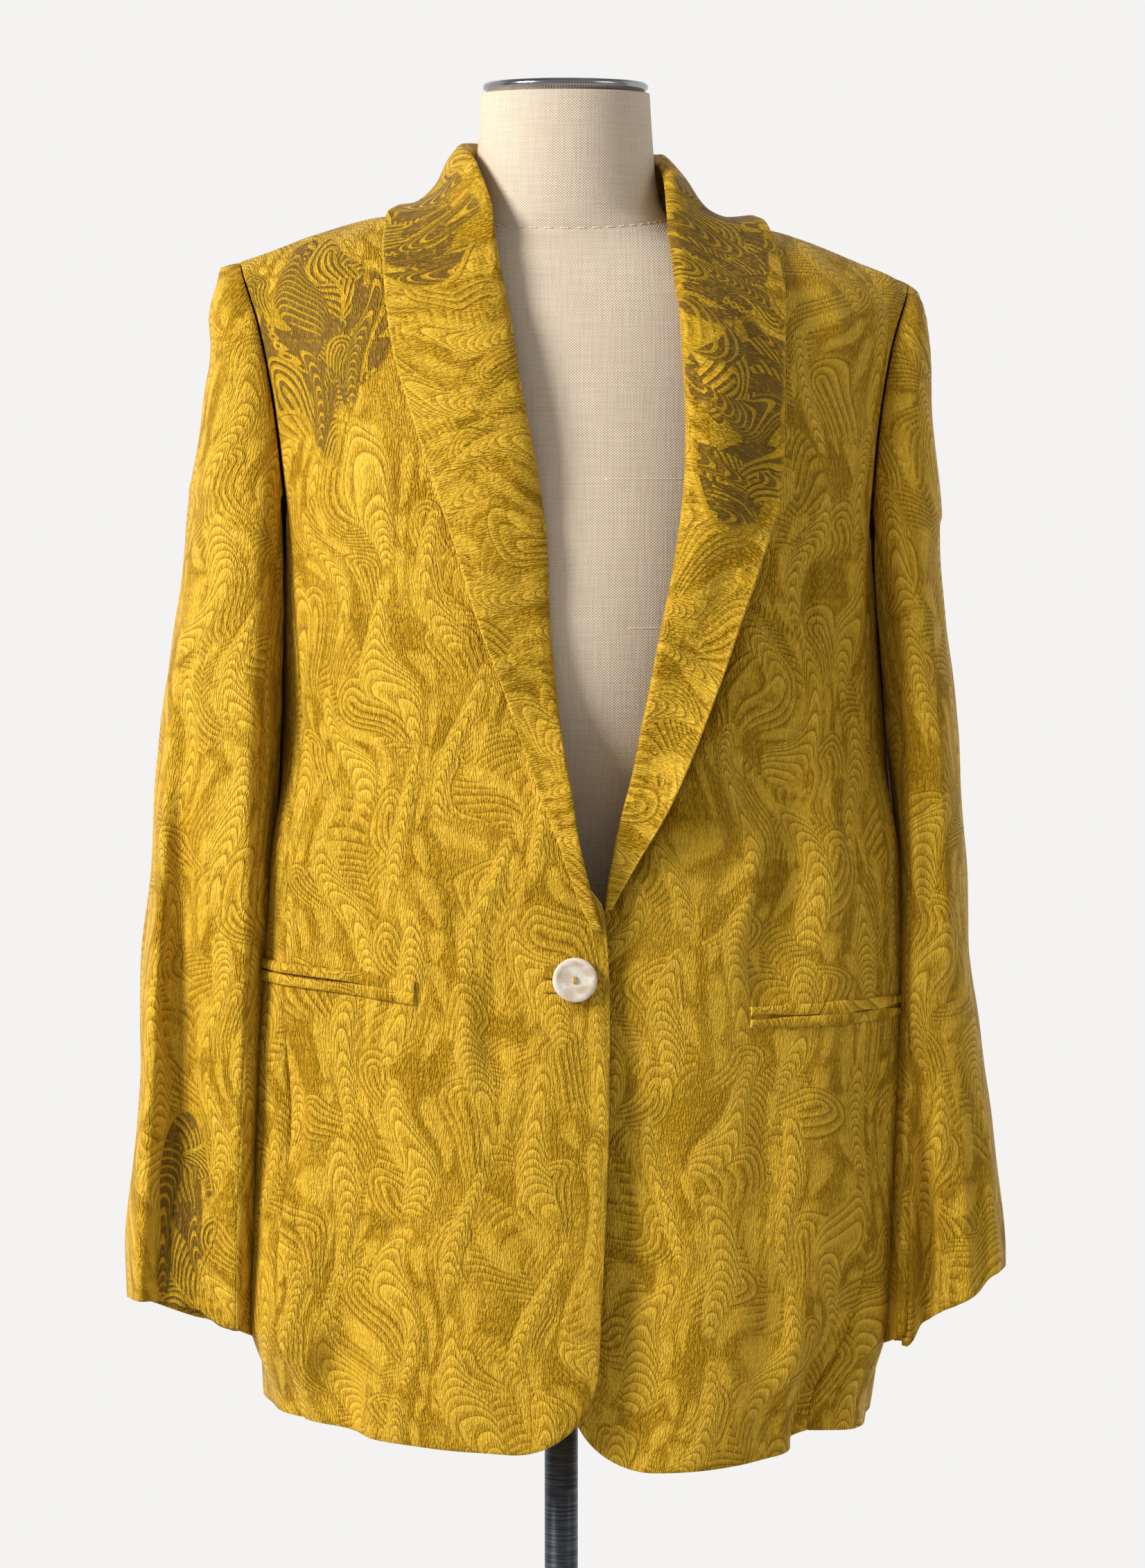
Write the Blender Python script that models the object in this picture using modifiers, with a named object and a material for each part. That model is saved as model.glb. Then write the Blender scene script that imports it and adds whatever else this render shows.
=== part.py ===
"""One-button shawl-collar blazer resting on a limbless dress form.

The tables and the shape functions are in millimetres, and the meshes are in metres.
+Z is up, the front faces -Y, and +X is the wearer's left. The origin is the middle of
the base plate's underside. Every cloth piece is an open surface with a Solidify modifier.
"""

import math

import bmesh
import bpy
from mathutils import Vector

for item in list(bpy.data.objects):
    bpy.data.objects.remove(item, do_unlink=True)

MM = 0.001
SIGN = {"right": -1, "left": 1}


def table(names, *rows):
    """Rows of numbers as dictionaries with named columns."""
    keys = names.split()
    return [dict(zip(keys, row)) for row in rows]


# Cloth, seams and how the blazer hangs
CLOTH = 1.5
SEAM_GAP = 0.3
ARMHOLE_GAP = 0.9
ELBOW_GAP = 0.7
SEAM_TRIM = 0.004
LEAN = 0.033
LAP = {"right": 3.0, "left": 0.0}
SQUARE_FRONT = 2.4
SQUARE_BACK = 2.8

# Heights that the cut is built on
HEM_SIDE = 727
HEM_FRONT = {"right": 718.5, "left": 708}
HEM_CORNER = 52
NOTCH = 1270
NOTCH_HALF = 181
NOTCH_FRONT = 125
NOTCH_BACK = 112
UNDERARM_DIP = 62
UNDERARM_ROUND = 0.8
SHOULDER = 1414.5
SHOULDER_OUT = 203
SHOULDER_SLOPE = 0.3
SHOULDER_Y = 8.0
SHOULDER_Y_BACK = 9.0
SHOULDER_CROWN = 4.5
CROWN_AT = 0.68
NECK_TOP = SHOULDER + SHOULDER_SLOPE * SHOULDER_OUT
NECK_POINT = 72
NECK_TURN = 6
BACK_NECK_RISE = 0.62

# Horizontal sections of the body: sizes about the centre, and the angles of the side seams
BODY = table(
    "height half_width front back centre front_seam back_seam",
    (700, 182, 134, 114, 2, 56, 62),
    (780, 190, 134, 114, 5, 56, 62),
    (850, 191.5, 133, 113, 8, 56, 62),
    (950, 192, 131, 110, 12, 57, 62),
    (1057, 187, 131, 106, 15, 60, 62),
    (1150, 182, 131, 106, 13.5, 65, 63),
    (1237, 180, 128, 110, 11, 71, 64),
    (NOTCH, NOTCH_HALF, NOTCH_FRONT, NOTCH_BACK, 10.3, 73, 64),
    (1420, NOTCH_HALF, 122, NOTCH_BACK, 8, 73, 64),
)

# Large folds of the body: a trough between two heights, its angle at each and its depth
BODY_FOLDS = table(
    "side low high angle_low angle_high half_width depth",
    ("left", 640, 850, 53, 51, 13, 22),
    ("left", 940, 1220, 27, 44, 9, 6),
    ("left", 1180, 1330, 43, 44, 9, 5),
    ("right", 650, 840, 45, 43, 11, 10),
    ("right", 820, 990, 57, 55, 9, 6),
)

# Front edge below the roll line, then the lapel's roll line and outer edge, across the body
FRONT_EDGE = {
    "right": table("height edge", (690, 19), (760, 22), (850, 26), (960, 28), (1010, 26), (1028, 23)),
    "left": table("height edge", (690, 4), (760, 2), (850, -6), (950, -14), (975, -12), (1028, 27)),
}
LAPEL = {
    "right": table(
        "height roll edge",
        (1029, 24, 19),
        (1046, 19, 10.8),
        (1082, 11, -2),
        (1119, 5, -16),
        (1162, -1, -30.5),
        (1203, -4.4, -46),
        (1255, -8, -62),
        (1300, -14, -77),
        (1363, -25.6, -96.7),
        (1397, -31, -102.4),
        (1429, -36.5, -105.5),
    ),
    "left": table(
        "height roll edge",
        (1041, 25.5, 29.5),
        (1066, 29, 43.3),
        (1094, 35, 59.4),
        (1125, 42.5, 73.4),
        (1170, 51.5, 90.7),
        (1204, 58, 102.7),
        (1248, 66.5, 117.2),
        (1288, 72, 128.4),
        (1332, 72.6, 130),
        (1363, 71, 130.5),
        (1400, 68, 131.5),
        (1427, 65.5, 128),
    ),
}
EDGE_UNDER_ROLL = 5
LAPEL_PROFILE = table(
    "share lift narrow_lift",
    (0, -1, 1),
    (0, 3, 2),
    (0.02, 6, 3.2),
    (0.12, 6.5, 3.6),
    (0.35, 5.0, 3.5),
    (0.6, 4.1, 3.2),
    (0.82, 3.6, 3.0),
    (1, 3.4, 2.8),
)
LAPEL_WIDE = 40
LAPEL_ROWS = 16

# The collar round the neck: foot of the stand, top of the roll and outer edge of the fall
COLLAR_NECK = {
    "right": table(
        "foot_x foot_y foot_z roll_x roll_y roll_z edge_x edge_y edge_z sag",
        (-42, -55, 1444, -40, -60, 1455, -105, -23, 1447.5, 2),
        (-57, -30, 1453, -49, -35, 1481, -101, -5, 1453, 8),
        (-61, 4, 1457, -55.5, 2, 1492, -95, 15, 1455.5, 10),
        (-46, 46, 1450, -42, 44, 1494, -76, 59, 1445.5, 3),
        (3.3, 66.5, 1444, 3.3, 63, 1498, 3.3, 84, 1428, 0),
    ),
    "left": table(
        "foot_x foot_y foot_z roll_x roll_y roll_z edge_x edge_y edge_z sag",
        (64, -49, 1442, 64, -51, 1450, 124, -20, 1443, 2),
        (69, -27, 1449, 62, -31, 1472, 119, -3, 1447.5, 10),
        (70.5, 4, 1452, 58, 2, 1484, 111, 16, 1448.5, 12),
        (55, 46, 1446, 48, 44, 1489, 86, 59, 1442, 4),
        (4.7, 66.5, 1444, 4.7, 63, 1498, 4.7, 84, 1428, 0),
    ),
}
COLLAR_ROLL = 4
COLLAR_FALL = table("share sag", (0.12, 0.3), (0.4, 1), (0.72, 0.8))
STAND_COLUMNS = 4

# Armhole above its notches, seen at the front and at the back
FRONT_POWER = 2 / SQUARE_FRONT
BACK_POWER = 2 / SQUARE_BACK
FRONT_NOTCH = math.radians(73)
BACK_NOTCH = math.radians(64)
NOTCH_ACROSS = math.sin(FRONT_NOTCH) ** FRONT_POWER
NOTCH_BULGE = math.cos(FRONT_NOTCH) ** FRONT_POWER
BACK_ACROSS = math.sin(BACK_NOTCH) ** BACK_POWER
BACK_BULGE = math.cos(BACK_NOTCH) ** BACK_POWER
ARMHOLE = table(
    "rise front_x front_y back_x back_y",
    (
        0,
        NOTCH_HALF * NOTCH_ACROSS,
        -NOTCH_FRONT * NOTCH_BULGE,
        NOTCH_HALF * BACK_ACROSS,
        NOTCH_BACK * BACK_BULGE,
    ),
    (0.25, 180, -43, 173, 64),
    (0.5, 188.5, -33, 184, 55),
    (0.75, 198.5, -15, 197, 33),
    (1, SHOULDER_OUT, SHOULDER_Y, SHOULDER_OUT, SHOULDER_Y_BACK),
)

# Sleeves below the notches: distances from the middle plane, and depths; then the sleeve heads
SLEEVE_SEAM = 130
SLEEVE_TRIM = 0.02
SLEEVE_CLEAR = 2.2
SLEEVE_DRAW_FROM = 0.6
SLEEVE_AXIS = 225
SLEEVE = {
    "right": table(
        "height inner outer front back",
        (760, 182, 259, -84, 26),
        (836, 180, 262.5, -84, 34),
        (910, 177, 256, -82, 48),
        (986, 172, 254.5, -79, 62),
        (1040, 167, 250, -77, 72),
        (1150, 166, 242, -72, 80),
        (1240, 166, 229, -63, 79),
        (1290, 166, 223, -58, 76),
    ),
    "left": table(
        "height inner outer front back",
        (760, 192, 270, -84, 26),
        (836, 194, 267.5, -84, 36),
        (910, 196, 260, -83, 52),
        (986, 198, 250, -81, 68),
        (1057, 200, 246, -80, 78),
        (1160, 197, 238.5, -76, 84),
        (1230, 193, 232, -66, 80),
        (1290, 187, 228, -58, 76),
    ),
}
SLEEVE_HEAD = {
    "right": table("height outer", (1276, 224.5), (1328, 217), (1366, 211.5), (1390, 213), (1418, 206)),
    "left": table("height outer", (1264, 229.5), (1309, 225), (1337, 222), (1385, 220.5), (1403, 216)),
}
SLEEVE_HEAD_TOP = {"right": 1418, "left": 1403}
SLEEVE_HEAD_END = 0.975
SLEEVE_HEAD_CLOSE = 35
CUFF = {
    "right": {"middle": 784, "outer_rise": 12, "front_rise": 12},
    "left": {"middle": 788, "outer_rise": 20, "front_rise": 8},
}
SLEEVE_FOLDS = table(
    "side low high turn half_width depth",
    ("left", 650, 1010, -114, 26, 15),
    ("left", 700, 960, -58, 20, 5),
    ("left", 950, 1180, -100, 26, 6),
    ("right", 700, 1330, -66, 26, 6),
    ("right", 640, 1000, -70, 24, 8),
    ("right", 700, 960, -112, 20, 4),
)

# Pockets, buttonhole and button
POCKET_HEIGHT = {"right": 988, "left": 979.5}
POCKET_RISE = {"right": 6.5, "left": 4}
POCKET_INNER = 98
POCKET_OUTER_ANGLE = 75
WELT_TALL = 6.4
WELT_SLIT = 0.9
WELT_CLOTH = 1.4
WELT_LIFT = 2.3
WELT_COLUMNS = 12
BUTTON_X = 8.4
BUTTON_Z = 1000.5
BUTTON_RADIUS = 13.1
BUTTON_THICK = 3.2
BUTTON_LIFT = 2.4
BUTTON_BEVEL = 0.8
BUTTON_SIDES = 32
BUTTON_HOLE_RADIUS = 1.15
BUTTON_HOLE_APART = 2.1
BUTTON_HOLE_SIDES = 12
THREAD_RADIUS = 0.55
THREAD_BEND = 0.5
HOLE_WELT_START = -10.5
HOLE_WELT_END = 3.5
HOLE_WELT_TALL = 7.6
HOLE_WELT_LIFT = 1.8
HOLE_WELT_CLOTH = 1.0

# Dress form
FORM = table(
    "height half_width front back",
    (800, 138, 88, 90),
    (812, 150, 95, 97),
    (870, 160, 99, 101),
    (960, 150, 98, 96),
    (1060, 136, 97, 88),
    (1130, 143, 106, 88),
    (1200, 154, 112, 92),
    (1270, 158, 107, 93),
    (1340, 160, 91, 82),
    (1390, 156, 74, 64),
    (1412, 142, 64, 53),
    (1427, 113, 57, 50),
    (1438, 79, 54.5, 50),
    (1449, 61, 54.5, 52),
    (1464, 55.5, 54, 54),
    (1490, 52.7, 52.7, 52.7),
    (1521, 50.6, 50.6, 50.6),
)
FORM_SQUARE = 2.15
FORM_SIDES = 28
FORM_LEAN = 0.0038
CAP_RADIUS = 49.8
CAP_TALL = 6.2
CAP_DOME = 1.0
CAP_ROUND = 1.5
CAP_SIDES = 32
POLE_RADIUS = 10.2
POLE_SIDES = 24
BASE_RADIUS = 190
BASE_TALL = 12
BASE_BEVEL = 4
BASE_SIDES = 40

# Rows and columns of the meshes
LOWER_ROWS = 11
UPPER_ROWS = 8
FRONT_COLUMNS = 11
FRONT_EASE = 1.5
SIDE_COLUMNS = 5
BACK_COLUMNS = 14
TOP_SLEEVE_COLUMNS = 15
UNDER_SLEEVE_COLUMNS = 6
ELBOW_ROW = 7
NECK_STEPS = 2
BISECTIONS = 24
BODY_AXIS = (8, 0)

def read(rows, column, at, key="height"):
    """One column of a table, read smoothly between its rows."""
    at = min(max(at, rows[0][key]), rows[-1][key])
    last = len(rows) - 1
    i = 0
    while i < last - 1 and at > rows[i + 1][key]:
        i += 1

    def slope(k):
        low = rows[max(k - 1, 0)]
        high = rows[min(k + 1, last)]
        return (high[column] - low[column]) / (high[key] - low[key])

    span = rows[i + 1][key] - rows[i][key]
    f = (at - rows[i][key]) / span
    start, end = rows[i][column], rows[i + 1][column]
    ease = f * f * (3 - 2 * f)
    bow = span * f * (1 - f) * ((1 - f) * slope(i) - f * slope(i + 1))
    return start + (end - start) * ease + bow


def power(value, exponent):
    """A power that keeps the sign of its base."""
    return math.copysign(abs(value) ** exponent, value)


def steps(count):
    return [k / count for k in range(count + 1)]


def window(offset):
    """A smooth hump, 1 at offset 0 and 0 from offset 1 on."""
    return math.cos(min(abs(offset), 1) * math.pi / 2) ** 2


def body_fold(side, angle, height):
    """How far the large folds press the body cloth in."""
    depth = 0
    for fold in BODY_FOLDS:
        if fold["side"] == side and fold["low"] < height < fold["high"]:
            f = (height - fold["low"]) / (fold["high"] - fold["low"])
            middle = fold["angle_low"] + (fold["angle_high"] - fold["angle_low"]) * f
            along = window(2 * f - 1)
            depth += fold["depth"] * along * window((math.degrees(angle) - middle) / fold["half_width"])
    return depth


def ring_point(side, angle, height, folded=True):
    """The body cloth below the notches. Angle 0 is the middle of the front, 90 degrees the side."""
    half = read(BODY, "half_width", height)
    if math.cos(angle) >= 0:
        across = power(math.sin(angle), FRONT_POWER)
        bulge = math.cos(angle) ** FRONT_POWER
        seam = math.cos(math.radians(read(BODY, "front_seam", height))) ** FRONT_POWER
        share = max(0, (bulge - seam) / (1 - seam))
        y = -read(BODY, "front", height) * bulge - LAP[side] * share
    else:
        across = power(math.sin(angle), BACK_POWER)
        y = read(BODY, "back", height) * abs(math.cos(angle)) ** BACK_POWER
    fold = body_fold(side, angle, height) if folded else 0
    return half * across - fold * math.sin(angle), y + fold * math.cos(angle), height


def shoulder_height(ratio, up):
    """The height above the notch by the share of the way out and up, with the shoulder's crown."""
    edge_z = NOTCH + (SHOULDER - NOTCH) * up
    middle_z = NOTCH + (NECK_TOP - NOTCH) * up
    crown = SHOULDER_CROWN * up * window((ratio - CROWN_AT) / (1 - CROWN_AT))
    return middle_z + (edge_z - middle_z) * ratio + crown


def front_upper(side, across, rise, folded=True):
    """The front from the notch (rise 0) over the chest to the shoulder seam (rise 1)."""
    up = math.sin(rise * math.pi / 2)
    forward = math.cos(rise * math.pi / 2)
    edge_x = read(ARMHOLE, "front_x", rise, "rise")
    edge_y = read(ARMHOLE, "front_y", rise, "rise")
    middle_y = SHOULDER_Y - (read(BODY, "front", NOTCH) + LAP[side] + SHOULDER_Y) * forward
    ratio = min(abs(across) / edge_x, 1)
    bulge = (1 - (ratio * NOTCH_ACROSS) ** SQUARE_FRONT) ** (1 / SQUARE_FRONT)
    share = (bulge - NOTCH_BULGE) / (1 - NOTCH_BULGE)
    z = shoulder_height(ratio, up)
    y = edge_y + (middle_y - edge_y) * share
    if folded:
        angle = math.asin(min(ratio * NOTCH_ACROSS, 1) ** (1 / FRONT_POWER))
        y += body_fold(side, angle, z) * math.cos(angle)
    return across, y, z


def front_point(side, across, height, folded=True):
    """A point of the front by its distance from the centre and its height."""
    if height <= NOTCH:
        half = read(BODY, "half_width", height)
        angle = math.asin(max(-1, min(1, power(across / half, 1 / FRONT_POWER))))
        return ring_point(side, angle, height, folded)
    low, high = 0.0, 1.0
    for _ in range(BISECTIONS):
        middle = (low + high) / 2
        if front_upper(side, across, middle, folded)[2] < height:
            low = middle
        else:
            high = middle
    return front_upper(side, across, high, folded)


def back_upper(across_share, rise):
    """The back above the notch, by the share of the way to the armhole."""
    up = math.sin(rise * math.pi / 2)
    backward = math.cos(rise * math.pi / 2)
    edge_y = read(ARMHOLE, "back_y", rise, "rise")
    middle_y = SHOULDER_Y_BACK + (read(BODY, "back", NOTCH) - SHOULDER_Y_BACK) * backward
    ratio = abs(across_share)
    bulge = (1 - (ratio * BACK_ACROSS) ** SQUARE_BACK) ** (1 / SQUARE_BACK)
    share = (bulge - BACK_BULGE) / (1 - BACK_BULGE)
    x = read(ARMHOLE, "back_x", rise, "rise") * across_share
    return x, edge_y + (middle_y - edge_y) * share, shoulder_height(ratio, up)


def hang(point, sign=1):
    """Where a point of the cut hangs: about the leaning centre, a little lower on the left."""
    x, y, z = point
    return Vector((sign * x + read(BODY, "centre", z), y, z - LEAN * sign * x))


def on_front(side, x, z, lift, folded=True):
    """The place on a front at a width and height, moved out along the cloth's normal."""
    sign = SIGN[side]
    height = z + LEAN * (x - read(BODY, "centre", z))
    across = sign * (x - read(BODY, "centre", height))
    place = hang(front_point(side, across, height, folded), sign)
    beside = hang(front_point(side, across + 1, height, folded), sign) - place
    below = place - hang(front_point(side, across, height - 1, folded), sign)
    normal = beside.cross(below).normalized() * sign
    return place + normal * lift


def inner_edge(side, z):
    """The front's free edge: the front edge below the lapel, then just under the roll line."""
    if z <= FRONT_EDGE[side][-1]["height"]:
        return read(FRONT_EDGE[side], "edge", z)
    return read(LAPEL[side], "roll", z) + SIGN[side] * EDGE_UNDER_ROLL


def hem_height(side, from_edge, share):
    """The front's hem, with its rounded corner at the free edge."""
    z = HEM_FRONT[side] + (HEM_SIDE - HEM_FRONT[side]) * share ** 2
    inside = min(max(0, HEM_CORNER - from_edge), HEM_CORNER)
    return z + HEM_CORNER - math.sqrt(HEM_CORNER ** 2 - inside ** 2)


def front_grid(side):
    sign = SIGN[side]
    grid = []
    for level in steps(LOWER_ROWS):
        plain = HEM_SIDE + level * (NOTCH - HEM_SIDE)
        half = read(BODY, "half_width", plain)
        edge = sign * (inner_edge(side, plain) - read(BODY, "centre", plain))
        start = math.asin(power(edge / half, 1 / FRONT_POWER))
        stop = math.radians(read(BODY, "front_seam", plain)) - SEAM_TRIM
        row = []
        for f in steps(FRONT_COLUMNS):
            angle = start + (stop - start) * f ** FRONT_EASE
            across = half * power(math.sin(angle), FRONT_POWER)
            share = (angle - start) / (stop - start)
            hem = hem_height(side, across - edge, share)
            row.append(hang(ring_point(side, angle, hem + level * (NOTCH - hem)), sign))
        grid.append(row)
    for rise in steps(UPPER_ROWS)[1:]:
        up = math.sin(rise * math.pi / 2)
        edge_x = read(ARMHOLE, "front_x", rise, "rise") - SEAM_GAP / 2
        near_neck = NOTCH + (NECK_TOP - SHOULDER_SLOPE * NECK_POINT - NOTCH) * up
        roll = sign * (inner_edge(side, near_neck) - read(BODY, "centre", near_neck))
        inner = roll + (NECK_POINT - roll) * up ** NECK_TURN
        start = math.asin(power(inner / edge_x * NOTCH_ACROSS, 1 / FRONT_POWER))
        row = []
        for f in steps(FRONT_COLUMNS):
            angle = start + (FRONT_NOTCH - start) * f ** FRONT_EASE
            across = edge_x * power(math.sin(angle), FRONT_POWER) / NOTCH_ACROSS
            row.append(hang(front_upper(side, across, rise), sign))
        grid.append(row)
    return grid


def side_grid(side):
    sign = SIGN[side]
    grid = []
    for level in steps(LOWER_ROWS):
        row = []
        for f in steps(SIDE_COLUMNS):
            top = NOTCH - UNDERARM_DIP * math.sin(math.pi * f) ** UNDERARM_ROUND
            height = HEM_SIDE + level * (top - HEM_SIDE)
            start = math.radians(read(BODY, "front_seam", height)) + SEAM_TRIM
            stop = math.pi - math.radians(read(BODY, "back_seam", height)) - SEAM_TRIM
            row.append(hang(ring_point(side, start + (stop - start) * f, height), sign))
        grid.append(row)
    return grid


def back_grid():
    grid = []
    for level in steps(LOWER_ROWS):
        height = HEM_SIDE + level * (NOTCH - HEM_SIDE)
        reach = math.radians(read(BODY, "back_seam", height)) - SEAM_TRIM
        half = read(BODY, "half_width", height)
        depth = read(BODY, "back", height)
        row = []
        for f in steps(BACK_COLUMNS):
            angle = reach * (1 - 2 * f)
            across = half * power(math.sin(angle), BACK_POWER)
            row.append(hang((across, depth * math.cos(angle) ** BACK_POWER, height)))
        grid.append(row)
    for level in steps(UPPER_ROWS)[1:]:
        row = []
        for f in steps(BACK_COLUMNS):
            share = power(math.sin(BACK_NOTCH * (1 - 2 * f)), BACK_POWER) / BACK_ACROSS
            inside = max(0, 1 - (abs(share) * SHOULDER_OUT / NECK_POINT) ** 2)
            rise = level * (1 - (1 - BACK_NECK_RISE) * math.sqrt(inside))
            row.append(hang(back_upper(share * (1 - SEAM_GAP / SHOULDER_OUT / 2), rise)))
        grid.append(row)
    return grid


def sleeve_fold(side, turn, height):
    depth = 0
    for fold in SLEEVE_FOLDS:
        if fold["side"] == side and fold["low"] < height < fold["high"]:
            along = window((2 * height - fold["low"] - fold["high"]) / (fold["high"] - fold["low"]))
            off = (math.degrees(turn) - fold["turn"] + 180) % 360 - 180
            depth += fold["depth"] * along * window(off / fold["half_width"])
    return depth


def sleeve_ring(side, turn, height):
    """The sleeve below the notches. Turn 0 is the outer side, -90 degrees the front."""
    sizes = SLEEVE[side]
    inner = read(sizes, "inner", height)
    outer = read(sizes, "outer", height)
    front = read(sizes, "front", height)
    back = read(sizes, "back", height)
    fold = sleeve_fold(side, turn, height)
    x = (inner + outer) / 2 + power(math.cos(turn), FRONT_POWER) * (outer - inner) / 2
    y = (front + back) / 2 + power(math.sin(turn), FRONT_POWER) * (back - front) / 2
    return Vector((SIGN[side] * (x - fold * math.cos(turn)), y - fold * math.sin(turn), height))


def armhole_edge(side, edge, rise):
    """The sleeve's side of the armhole seam, at the front or the back."""
    x = read(ARMHOLE, edge + "_x", rise, "rise") + ARMHOLE_GAP
    height = NOTCH + (SHOULDER - NOTCH) * math.sin(rise * math.pi / 2)
    return hang((x, read(ARMHOLE, edge + "_y", rise, "rise"), height), SIGN[side])


def clear_of_body(side, point):
    """A sleeve point kept just outside the body cloth beside it."""
    sign = SIGN[side]
    height = point.z + LEAN * point.x
    depth = read(BODY, "front", height)
    square = SQUARE_FRONT
    if point.y > 0:
        depth = read(BODY, "back", height)
        square = SQUARE_BACK
    across = (1 - min(1, abs(point.y) / depth) ** square) ** (1 / square)
    side_x = read(BODY, "half_width", height) * across + SLEEVE_CLEAR
    centre = read(BODY, "centre", height)
    point.x = centre + sign * max(sign * (point.x - centre), side_x)
    return point


def sleeve_point(side, turn, level, dip=0.0):
    """A ring point between the cuff (level 0) and the notches (level 1), drawn to the notches."""
    cuff = CUFF[side]["middle"] + CUFF[side]["outer_rise"] * math.cos(turn)
    cuff -= CUFF[side]["front_rise"] * math.sin(turn)
    top = NOTCH - LEAN * SIGN[side] * read(SLEEVE[side], "outer", NOTCH) - dip
    point = sleeve_ring(side, turn, cuff + level * (top - cuff))
    draw = max(0, (level - SLEEVE_DRAW_FROM) / (1 - SLEEVE_DRAW_FROM)) ** 2
    seam = math.radians(SLEEVE_SEAM)
    to_front = armhole_edge(side, "front", 0) - sleeve_ring(side, -seam, NOTCH)
    to_back = armhole_edge(side, "back", 0) - sleeve_ring(side, seam, NOTCH)
    to_front.z = 0
    to_back.z = 0
    toward_back = 0.5 + 0.5 * math.sin(turn) / math.sin(seam)
    reach = max(0, min(1, (1 - math.cos(turn)) / (1 - math.cos(seam))))
    return clear_of_body(side, point + to_front.lerp(to_back, toward_back) * draw * reach)


def top_sleeve_grid(side):
    sign = SIGN[side]
    seam = math.radians(SLEEVE_SEAM) - SLEEVE_TRIM
    grid = []
    for level in steps(LOWER_ROWS):
        grid.append([sleeve_point(side, seam * (2 * f - 1), level) for f in steps(TOP_SLEEVE_COLUMNS)])
    notch_top = NOTCH - LEAN * sign * read(SLEEVE[side], "outer", NOTCH)
    for rise in steps(UPPER_ROWS)[1:]:
        rise *= SLEEVE_HEAD_END
        up = math.sin(rise * math.pi / 2)
        front = armhole_edge(side, "front", rise)
        back = armhole_edge(side, "back", rise)
        crown_z = notch_top + (SLEEVE_HEAD_TOP[side] - notch_top) * up
        middle = (front + back) / 2
        crown = Vector((sign * read(SLEEVE_HEAD[side], "outer", crown_z), middle.y, crown_z))
        reach = math.radians(SLEEVE_SEAM - SLEEVE_HEAD_CLOSE * rise)
        row = []
        for f in steps(TOP_SLEEVE_COLUMNS):
            turn = reach * (2 * f - 1)
            along = power(math.sin(turn), FRONT_POWER) / math.sin(reach) ** FRONT_POWER
            end = power(math.cos(reach), FRONT_POWER)
            out = (power(math.cos(turn), FRONT_POWER) - end) / (1 - end)
            row.append(middle + (back - front) / 2 * along + (crown - middle) * out)
        grid.append(row)
    return grid


def under_sleeve_grid(side):
    seam = math.radians(SLEEVE_SEAM) + SLEEVE_TRIM
    grid = []
    for level in steps(LOWER_ROWS):
        row = []
        for f in steps(UNDER_SLEEVE_COLUMNS):
            turn = seam + (2 * math.pi - 2 * seam) * f
            dip = UNDERARM_DIP * math.sin(math.pi * f) ** UNDERARM_ROUND
            row.append(sleeve_point(side, turn, level, dip))
        grid.append(row)
    return grid


def at_elbow(grid):
    """A sleeve piece as its lengths below and above the elbow."""
    cut = zip(grid[ELBOW_ROW], grid[ELBOW_ROW + 1])
    raised = [here + (above - here).normalized() * ELBOW_GAP for here, above in cut]
    return (("lower_", grid[:ELBOW_ROW + 1]), ("upper_", [raised] + grid[ELBOW_ROW + 1:]))


def collar_neck_row(row):
    """One section of the collar round the neck, from the stand's foot over the roll to the edge."""
    foot = Vector((row["foot_x"], row["foot_y"], row["foot_z"]))
    roll = Vector((row["roll_x"], row["roll_y"], row["roll_z"]))
    edge = Vector((row["edge_x"], row["edge_y"], row["edge_z"]))
    outward = Vector((edge.x - foot.x, edge.y - foot.y, 0)).normalized()
    up = Vector((0, 0, 1))
    over = roll + outward * COLLAR_ROLL * 2
    stand = [foot, (foot + roll) / 2, roll - up * COLLAR_ROLL, roll + outward * COLLAR_ROLL]
    fall = [over.lerp(edge, spot["share"]) - up * row["sag"] * spot["sag"] for spot in COLLAR_FALL]
    return stand + fall + [edge]


def collar_grid(side):
    """The lapel on its front, then the collar round the neck to its seam at the back."""
    grid = []
    low = LAPEL[side][0]["height"]
    high = LAPEL[side][-1]["height"]
    for f in steps(LAPEL_ROWS):
        z = low + (high - low) * f
        roll = read(LAPEL[side], "roll", z)
        width = read(LAPEL[side], "edge", z) - roll
        wide = min(1, abs(width) / LAPEL_WIDE) ** 2
        section = []
        for spot in LAPEL_PROFILE:
            lift = spot["narrow_lift"] + (spot["lift"] - spot["narrow_lift"]) * wide
            section.append(on_front(side, roll + width * spot["share"], z, lift, folded=False))
        grid.append(section)
    keys = [collar_neck_row(row) for row in COLLAR_NECK[side]]
    seam = keys[-1][0].x
    beyond = [Vector((2 * seam - point.x, point.y, point.z)) for point in keys[-2]]
    chain = [grid[-2], grid[-1]] + keys + [beyond]
    for before, start, end, after in zip(chain, chain[1:], chain[2:], chain[3:]):
        for f in steps(NECK_STEPS)[1:]:
            grid.append([bend(b, s, e, a, f) for b, s, e, a in zip(before, start, end, after)])
    return grid


def bend(before, start, end, after, f):
    """A point of the smooth curve through four points, between the middle two."""
    leave = (end - before) / 2
    arrive = (after - start) / 2
    ease = f * f * (3 - 2 * f)
    return start.lerp(end, ease) + leave * f * (1 - f) ** 2 - arrive * f * f * (1 - f)


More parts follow.
